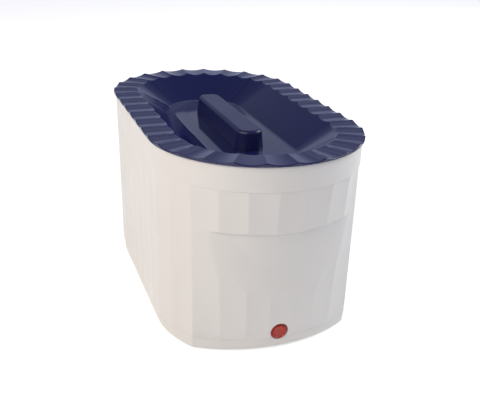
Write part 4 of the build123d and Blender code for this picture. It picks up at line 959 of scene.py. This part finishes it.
# Every finish of the bath, by the record's slot
FINISHES: dict[str, Finish] = {
    # Moulded ABS, warm white: satin, with a fine spark-eroded texture
    "housing": Finish("abs_warm_white", "#F0F0EC", "#EDEDE7", 0.42, 0.7, 0.012),
    # Moulded ABS, navy, polished mould: glossy, with faint flow waviness
    "lid": Finish("abs_navy", "#1A2056", "#171C4E", 0.08, 9.0, 0.006, rough_spread=0.02),
    # The same ABS from a textured mould: satin, so that its top looks even
    "lid_handle": Finish("abs_navy_handle", "#191D50", "#161A48", 0.34, 3.0, 0.012,
                         rough_spread=0.03),
    # Dark red polycarbonate: half gloss
    "lamp_body": Finish("polycarbonate_dark_red", "#9A1C12", "#86160E", 0.3, 1.5, 0.01,
                        patch=4.0),
    # Red polycarbonate: deep colour with a soft gloss and a faint glow
    "lamp_lens": Finish("polycarbonate_red", "#B4200F", "#96180C", 0.25, 1.6, 0.02,
                        patch=3.0, glow=0.1),
    # Deep-drawn anodised aluminium: soft upright draw lines
    "tank": Finish("anodised_aluminium", "#C9CBCC", "#BDBFC1", 0.34, 0.8, 0.01,
                   metallic=1.0, pattern=Pattern.BRUSHED, stretch=(1, 1, 0.04)),
    # Silicone rubber: dull and slightly translucent
    "gasket": Finish("silicone_grey", "#8C8E8C", "#828482", 0.6, 0.6, 0.02),
    # Moulded polypropylene: waxy, faintly translucent
    "grille": Finish("polypropylene_natural", "#E4E4DC", "#DAD9CF", 0.38, 1.2, 0.02,
                     ior=1.49, subsurface=0.15),
    # Silicone-rubber heater mat with a pressed weave
    "heater_mat": Finish("silicone_heater_orange", "#B5552E", "#A64A26", 0.62, 1.6, 0.15,
                         pattern=Pattern.WOVEN),
    # Glass-wool pad: matt and fibrous
    "insulation": Finish("glass_wool", "#D9CC8C", "#C9B870", 0.95, 2.5, 0.8, patch=12.0,
                         pattern=Pattern.FIBROUS),
    # Rolled steel strapping: a soft shine with lines along it
    "straps": Finish("steel_strap", "#A9ADAF", "#9BA0A3", 0.36, 0.5, 0.01, metallic=1.0,
                     pattern=Pattern.BRUSHED, stretch=(0.05, 0.05, 1)),
    # Hot-dip galvanised sheet: crystal spangle
    "sheet_steel": Finish("galvanised_steel", "#AEB3B5", "#959B9F", 0.4, 9.0, 0.02,
                          patch=9.0, metallic=1.0, pattern=Pattern.SPANGLED),
    # Zinc-plated steel: an even grey shine, brighter on the screws
    "steel": Finish("zinc_plated_steel", "#B9BCBE", "#A7ABAE", 0.3, 1.0, 0.01, metallic=1.0),
    # Moulded phenolic: nearly black and half matt
    "sensor": Finish("phenolic_black", "#23211F", "#2B2826", 0.45, 1.0, 0.02, ior=1.6),
    "screw_steel": Finish("zinc_plated_screws", "#BFC2C4", "#A9ADB0", 0.28, 0.8, 0.01,
                          metallic=1.0),
    # Moulded rubber: matt, with a fine bloom
    "feet": Finish("rubber_dark", "#2A2A2A", "#343434", 0.75, 0.8, 0.04),
    # Glass-filled nylon: fine sparkle texture
    "inlet": Finish("nylon_black", "#1B1B1C", "#232324", 0.42, 0.6, 0.02, ior=1.53),
    # Moulded polyamide: creamy and half matt
    "terminal_block": Finish("polyamide_white", "#E6E3DA", "#DBD7CC", 0.4, 0.8, 0.02),
    # Pressed brass: a warm yellow shine
    "brass": Finish("brass", "#C9A55A", "#B99347", 0.3, 0.8, 0.01, metallic=1.0),
    # Extruded PVC sheaths: smooth, with a soft gloss
    "lead_dark": Finish("pvc_brown", "#4A2F22", "#3F281D", 0.4, 0.8, 0.02),
    "lead_green": Finish("pvc_green", "#4E8A3C", "#467C36", 0.4, 0.8, 0.02),
    "lead_light": Finish("pvc_white", "#D9D7D0", "#CCCAC2", 0.4, 0.8, 0.02),
    # Unfilled nylon: creamy and faintly rough
    "clips": Finish("nylon_natural", "#DAD6C8", "#CFCABA", 0.42, 0.8, 0.02),
}


@dataclass(frozen=True)
class SoftLight:
    """A rectangular light, and where it stands round the object.

    The turn is in degrees from the front towards +X and the rise in degrees above the floor.
    The width and height are in metres, and the power is in watts.
    """

    name: str
    turn: float
    rise: float
    width: float
    height: float
    power: float
    colour: str

    def make(self, distance: float, target: Vector) -> None:
        """Makes the light, facing the object.

        Args:
            distance: How far it stands from the target, in metres.
            target: The point that it faces, in metres.
        """
        data = bpy.data.lights.new(self.name, "AREA")
        data.shape = "RECTANGLE"
        data.size, data.size_y = self.width, self.height
        data.energy = self.power
        data.color = linear(self.colour)[:3]
        made = linked(self.name, data)
        around, above = math.radians(self.turn), math.radians(self.rise)
        away = Vector((math.sin(around) * math.cos(above), -math.cos(around) * math.cos(above),
                       math.sin(above)))
        made.location = target + away * distance
        made.rotation_mode = "QUATERNION"
        made.rotation_quaternion = (-away).to_track_quat("-Z", "Y")


@dataclass(frozen=True)
class Studio:
    """Plain pale floor, soft light, and the camera at the photograph's view.

    The surround is as bright as the horizon up to the height low, as dim as the zenith from
    the height high, and blends between them. Heights are shares of a unit direction.
    """

    camera_place: tuple[float, float, float] = (-248.7, -734.7, 416.5)
    camera_right: tuple[float, float, float] = (0.943509, -0.330429, 0.024699)
    camera_up: tuple[float, float, float] = (0.109085, 0.380139, 0.918475)
    camera_ahead: tuple[float, float, float] = (0.312879, 0.863894, -0.394709)
    lens: float = 53.26
    sensor: float = 36.0
    floor_half: float = 20.0
    floor_colour: str = "#F2F1EF"
    floor_lift: float = 0.6
    horizon: float = 1.05
    zenith: float = 0.42
    low: float = 0.05
    high: float = 0.6
    sky: str = "#9CA3BE"
    distance: float = 3.0
    target_height: float = 0.1
    lamps: tuple[SoftLight, ...] = (
        SoftLight("left", -90, 30, 1.6, 1.6, 24, "#FFEEDA"),
        SoftLight("front_left", -50, 38, 1.6, 1.6, 30, "#FFF0DC"),
        SoftLight("right", 90, 34, 1.6, 1.6, 42, "#FFFFFC"),
        SoftLight("back_low", 161, 22, 1.5, 1.2, 0.9, "#DCE2FF"),
        SoftLight("back_high", 160, 45, 1.6, 1.2, 2.6, "#E8EAFF"),
    )

    def camera(self) -> None:
        """Makes the camera. Its matrix holds the right, up and backward directions as columns."""
        data = bpy.data.cameras.new("camera")
        data.lens = self.lens
        data.sensor_width = self.sensor
        data.sensor_fit = "HORIZONTAL"
        made = linked("camera", data)
        back = -np.array(self.camera_ahead)
        turn = np.array([self.camera_right, self.camera_up, back]).T
        matrix = Matrix(turn.tolist()).to_4x4()
        matrix.translation = Vector(self.camera_place) * MM
        made.matrix_world = matrix
        bpy.context.scene.camera = made

    def floor(self) -> None:
        """Makes the floor: a pale matt sheet that the camera, gloss and glass see as white."""
        half = self.floor_half
        mesh = bpy.data.meshes.new("floor")
        mesh.from_pydata([(-half, -half, 0), (half, -half, 0), (half, half, 0), (-half, half, 0)],
                         [], [(0, 1, 2, 3)])
        made = linked("floor", mesh)
        material = bpy.data.materials.new("studio_paper")
        tree = cleared(material)
        diffuse = add_node(tree, "ShaderNodeBsdfDiffuse", values={"Color": linear(self.floor_colour)})
        lift = add_node(tree, "ShaderNodeEmission", values={"Strength": self.floor_lift})
        rays = add_node(tree, "ShaderNodeLightPath")
        seen = rays.outputs["Is Camera Ray"]
        for name in ("Is Glossy Ray", "Is Transmission Ray"):
            seen = add_node(tree, "ShaderNodeMath", {"operation": "MAXIMUM"},
                            links={0: seen, 1: rays.outputs[name]}).outputs[0]
        both = add_node(tree, "ShaderNodeAddShader",
                        links={0: diffuse.outputs[0], 1: lift.outputs[0]})
        mix = add_node(tree, "ShaderNodeMixShader",
                       links={0: seen, 1: diffuse.outputs[0], 2: both.outputs[0]})
        add_node(tree, "ShaderNodeOutputMaterial", links={"Surface": mix.outputs[0]})
        mesh.materials.append(material)

    def world(self) -> None:
        """Makes the surround: bright near the horizon and dimmer overhead."""
        world = bpy.data.worlds.new("studio")
        bpy.context.scene.world = world
        tree = cleared(world)
        look = add_node(tree, "ShaderNodeTexCoord").outputs["Generated"]
        up = add_node(tree, "ShaderNodeSeparateXYZ", links={0: look}).outputs["Z"]
        level = add_node(tree, "ShaderNodeMapRange", {"interpolation_type": "SMOOTHSTEP"},
                         {"From Min": self.low, "From Max": self.high,
                          "To Min": self.horizon, "To Max": self.zenith},
                         {"Value": up}).outputs["Result"]
        shader = add_node(tree, "ShaderNodeBackground", values={"Color": linear(self.sky)},
                          links={"Strength": level})
        add_node(tree, "ShaderNodeOutputWorld", links={"Surface": shader.outputs[0]})

    def build(self) -> None:
        """Makes the camera, the floor, the surround and the lights."""
        self.camera()
        self.floor()
        self.world()
        target = Vector((0, 0, self.target_height))
        for light in self.lamps:
            light.make(self.distance, target)
        bpy.context.scene.view_settings.view_transform = "Standard"


@dataclass(frozen=True)
class Dresser:
    """Gives pieces the material of their slot and their body, and hides the nodes they stand for."""

    materials: dict[str, bpy.types.Material]

    def dress(self, piece: bpy.types.Object, slot: str, body: Body, *nodes: str) -> None:
        """Finishes a new piece.

        Args:
            piece: The piece.
            slot: The record's material slot.
            body: The body it rides on.
            nodes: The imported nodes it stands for.
        """
        piece.data.materials.clear()
        piece.data.materials.append(self.materials[slot])
        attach(piece, body.value)
        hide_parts(*nodes)
        log.info("%s rides on %s with finish %s", piece.name, body.value, slot)

    def carry_over(self, nodes: dict[str, bpy.types.Object], record: dict) -> None:
        """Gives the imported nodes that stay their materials.

        Args:
            nodes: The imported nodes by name.
            record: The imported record, which names each node's slot.
        """
        slots = {part["node"]: part["material_slot"] for part in record["subparts"]}
        for name, node in nodes.items():
            material = self.materials[slots[name]]
            if node.data.materials:
                for index in range(len(node.data.materials)):
                    node.data.materials[index] = material
            else:
                node.data.materials.append(material)
            log.info("%s keeps its packed shape with finish %s", name, slots[name])


def main() -> None:
    """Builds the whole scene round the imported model."""
    logging.basicConfig(level=logging.INFO, format="%(message)s")
    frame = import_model()
    mesher = Mesher()
    dresser = Dresser({slot: finish.make() for slot, finish in FINISHES.items()})
    dresser.carry_over(frame["nodes"], frame["record"])
    dresser.dress(Housing().build(mesher), "housing", Body.BASE, "housing")
    dresser.dress(Lid().build(mesher), "lid", Body.COVER, "lid")
    dresser.dress(Handle().build(mesher), "lid_handle", Body.COVER, "lid_handle")
    lamp = IndicatorLamp()
    dresser.dress(lamp.body(mesher), "lamp_body", Body.BASE, "lamp_body")
    dresser.dress(lamp.lens(mesher), "lamp_lens", Body.BASE, "lamp_lens")
    Studio().build()


if __name__ == "__main__":
    main()
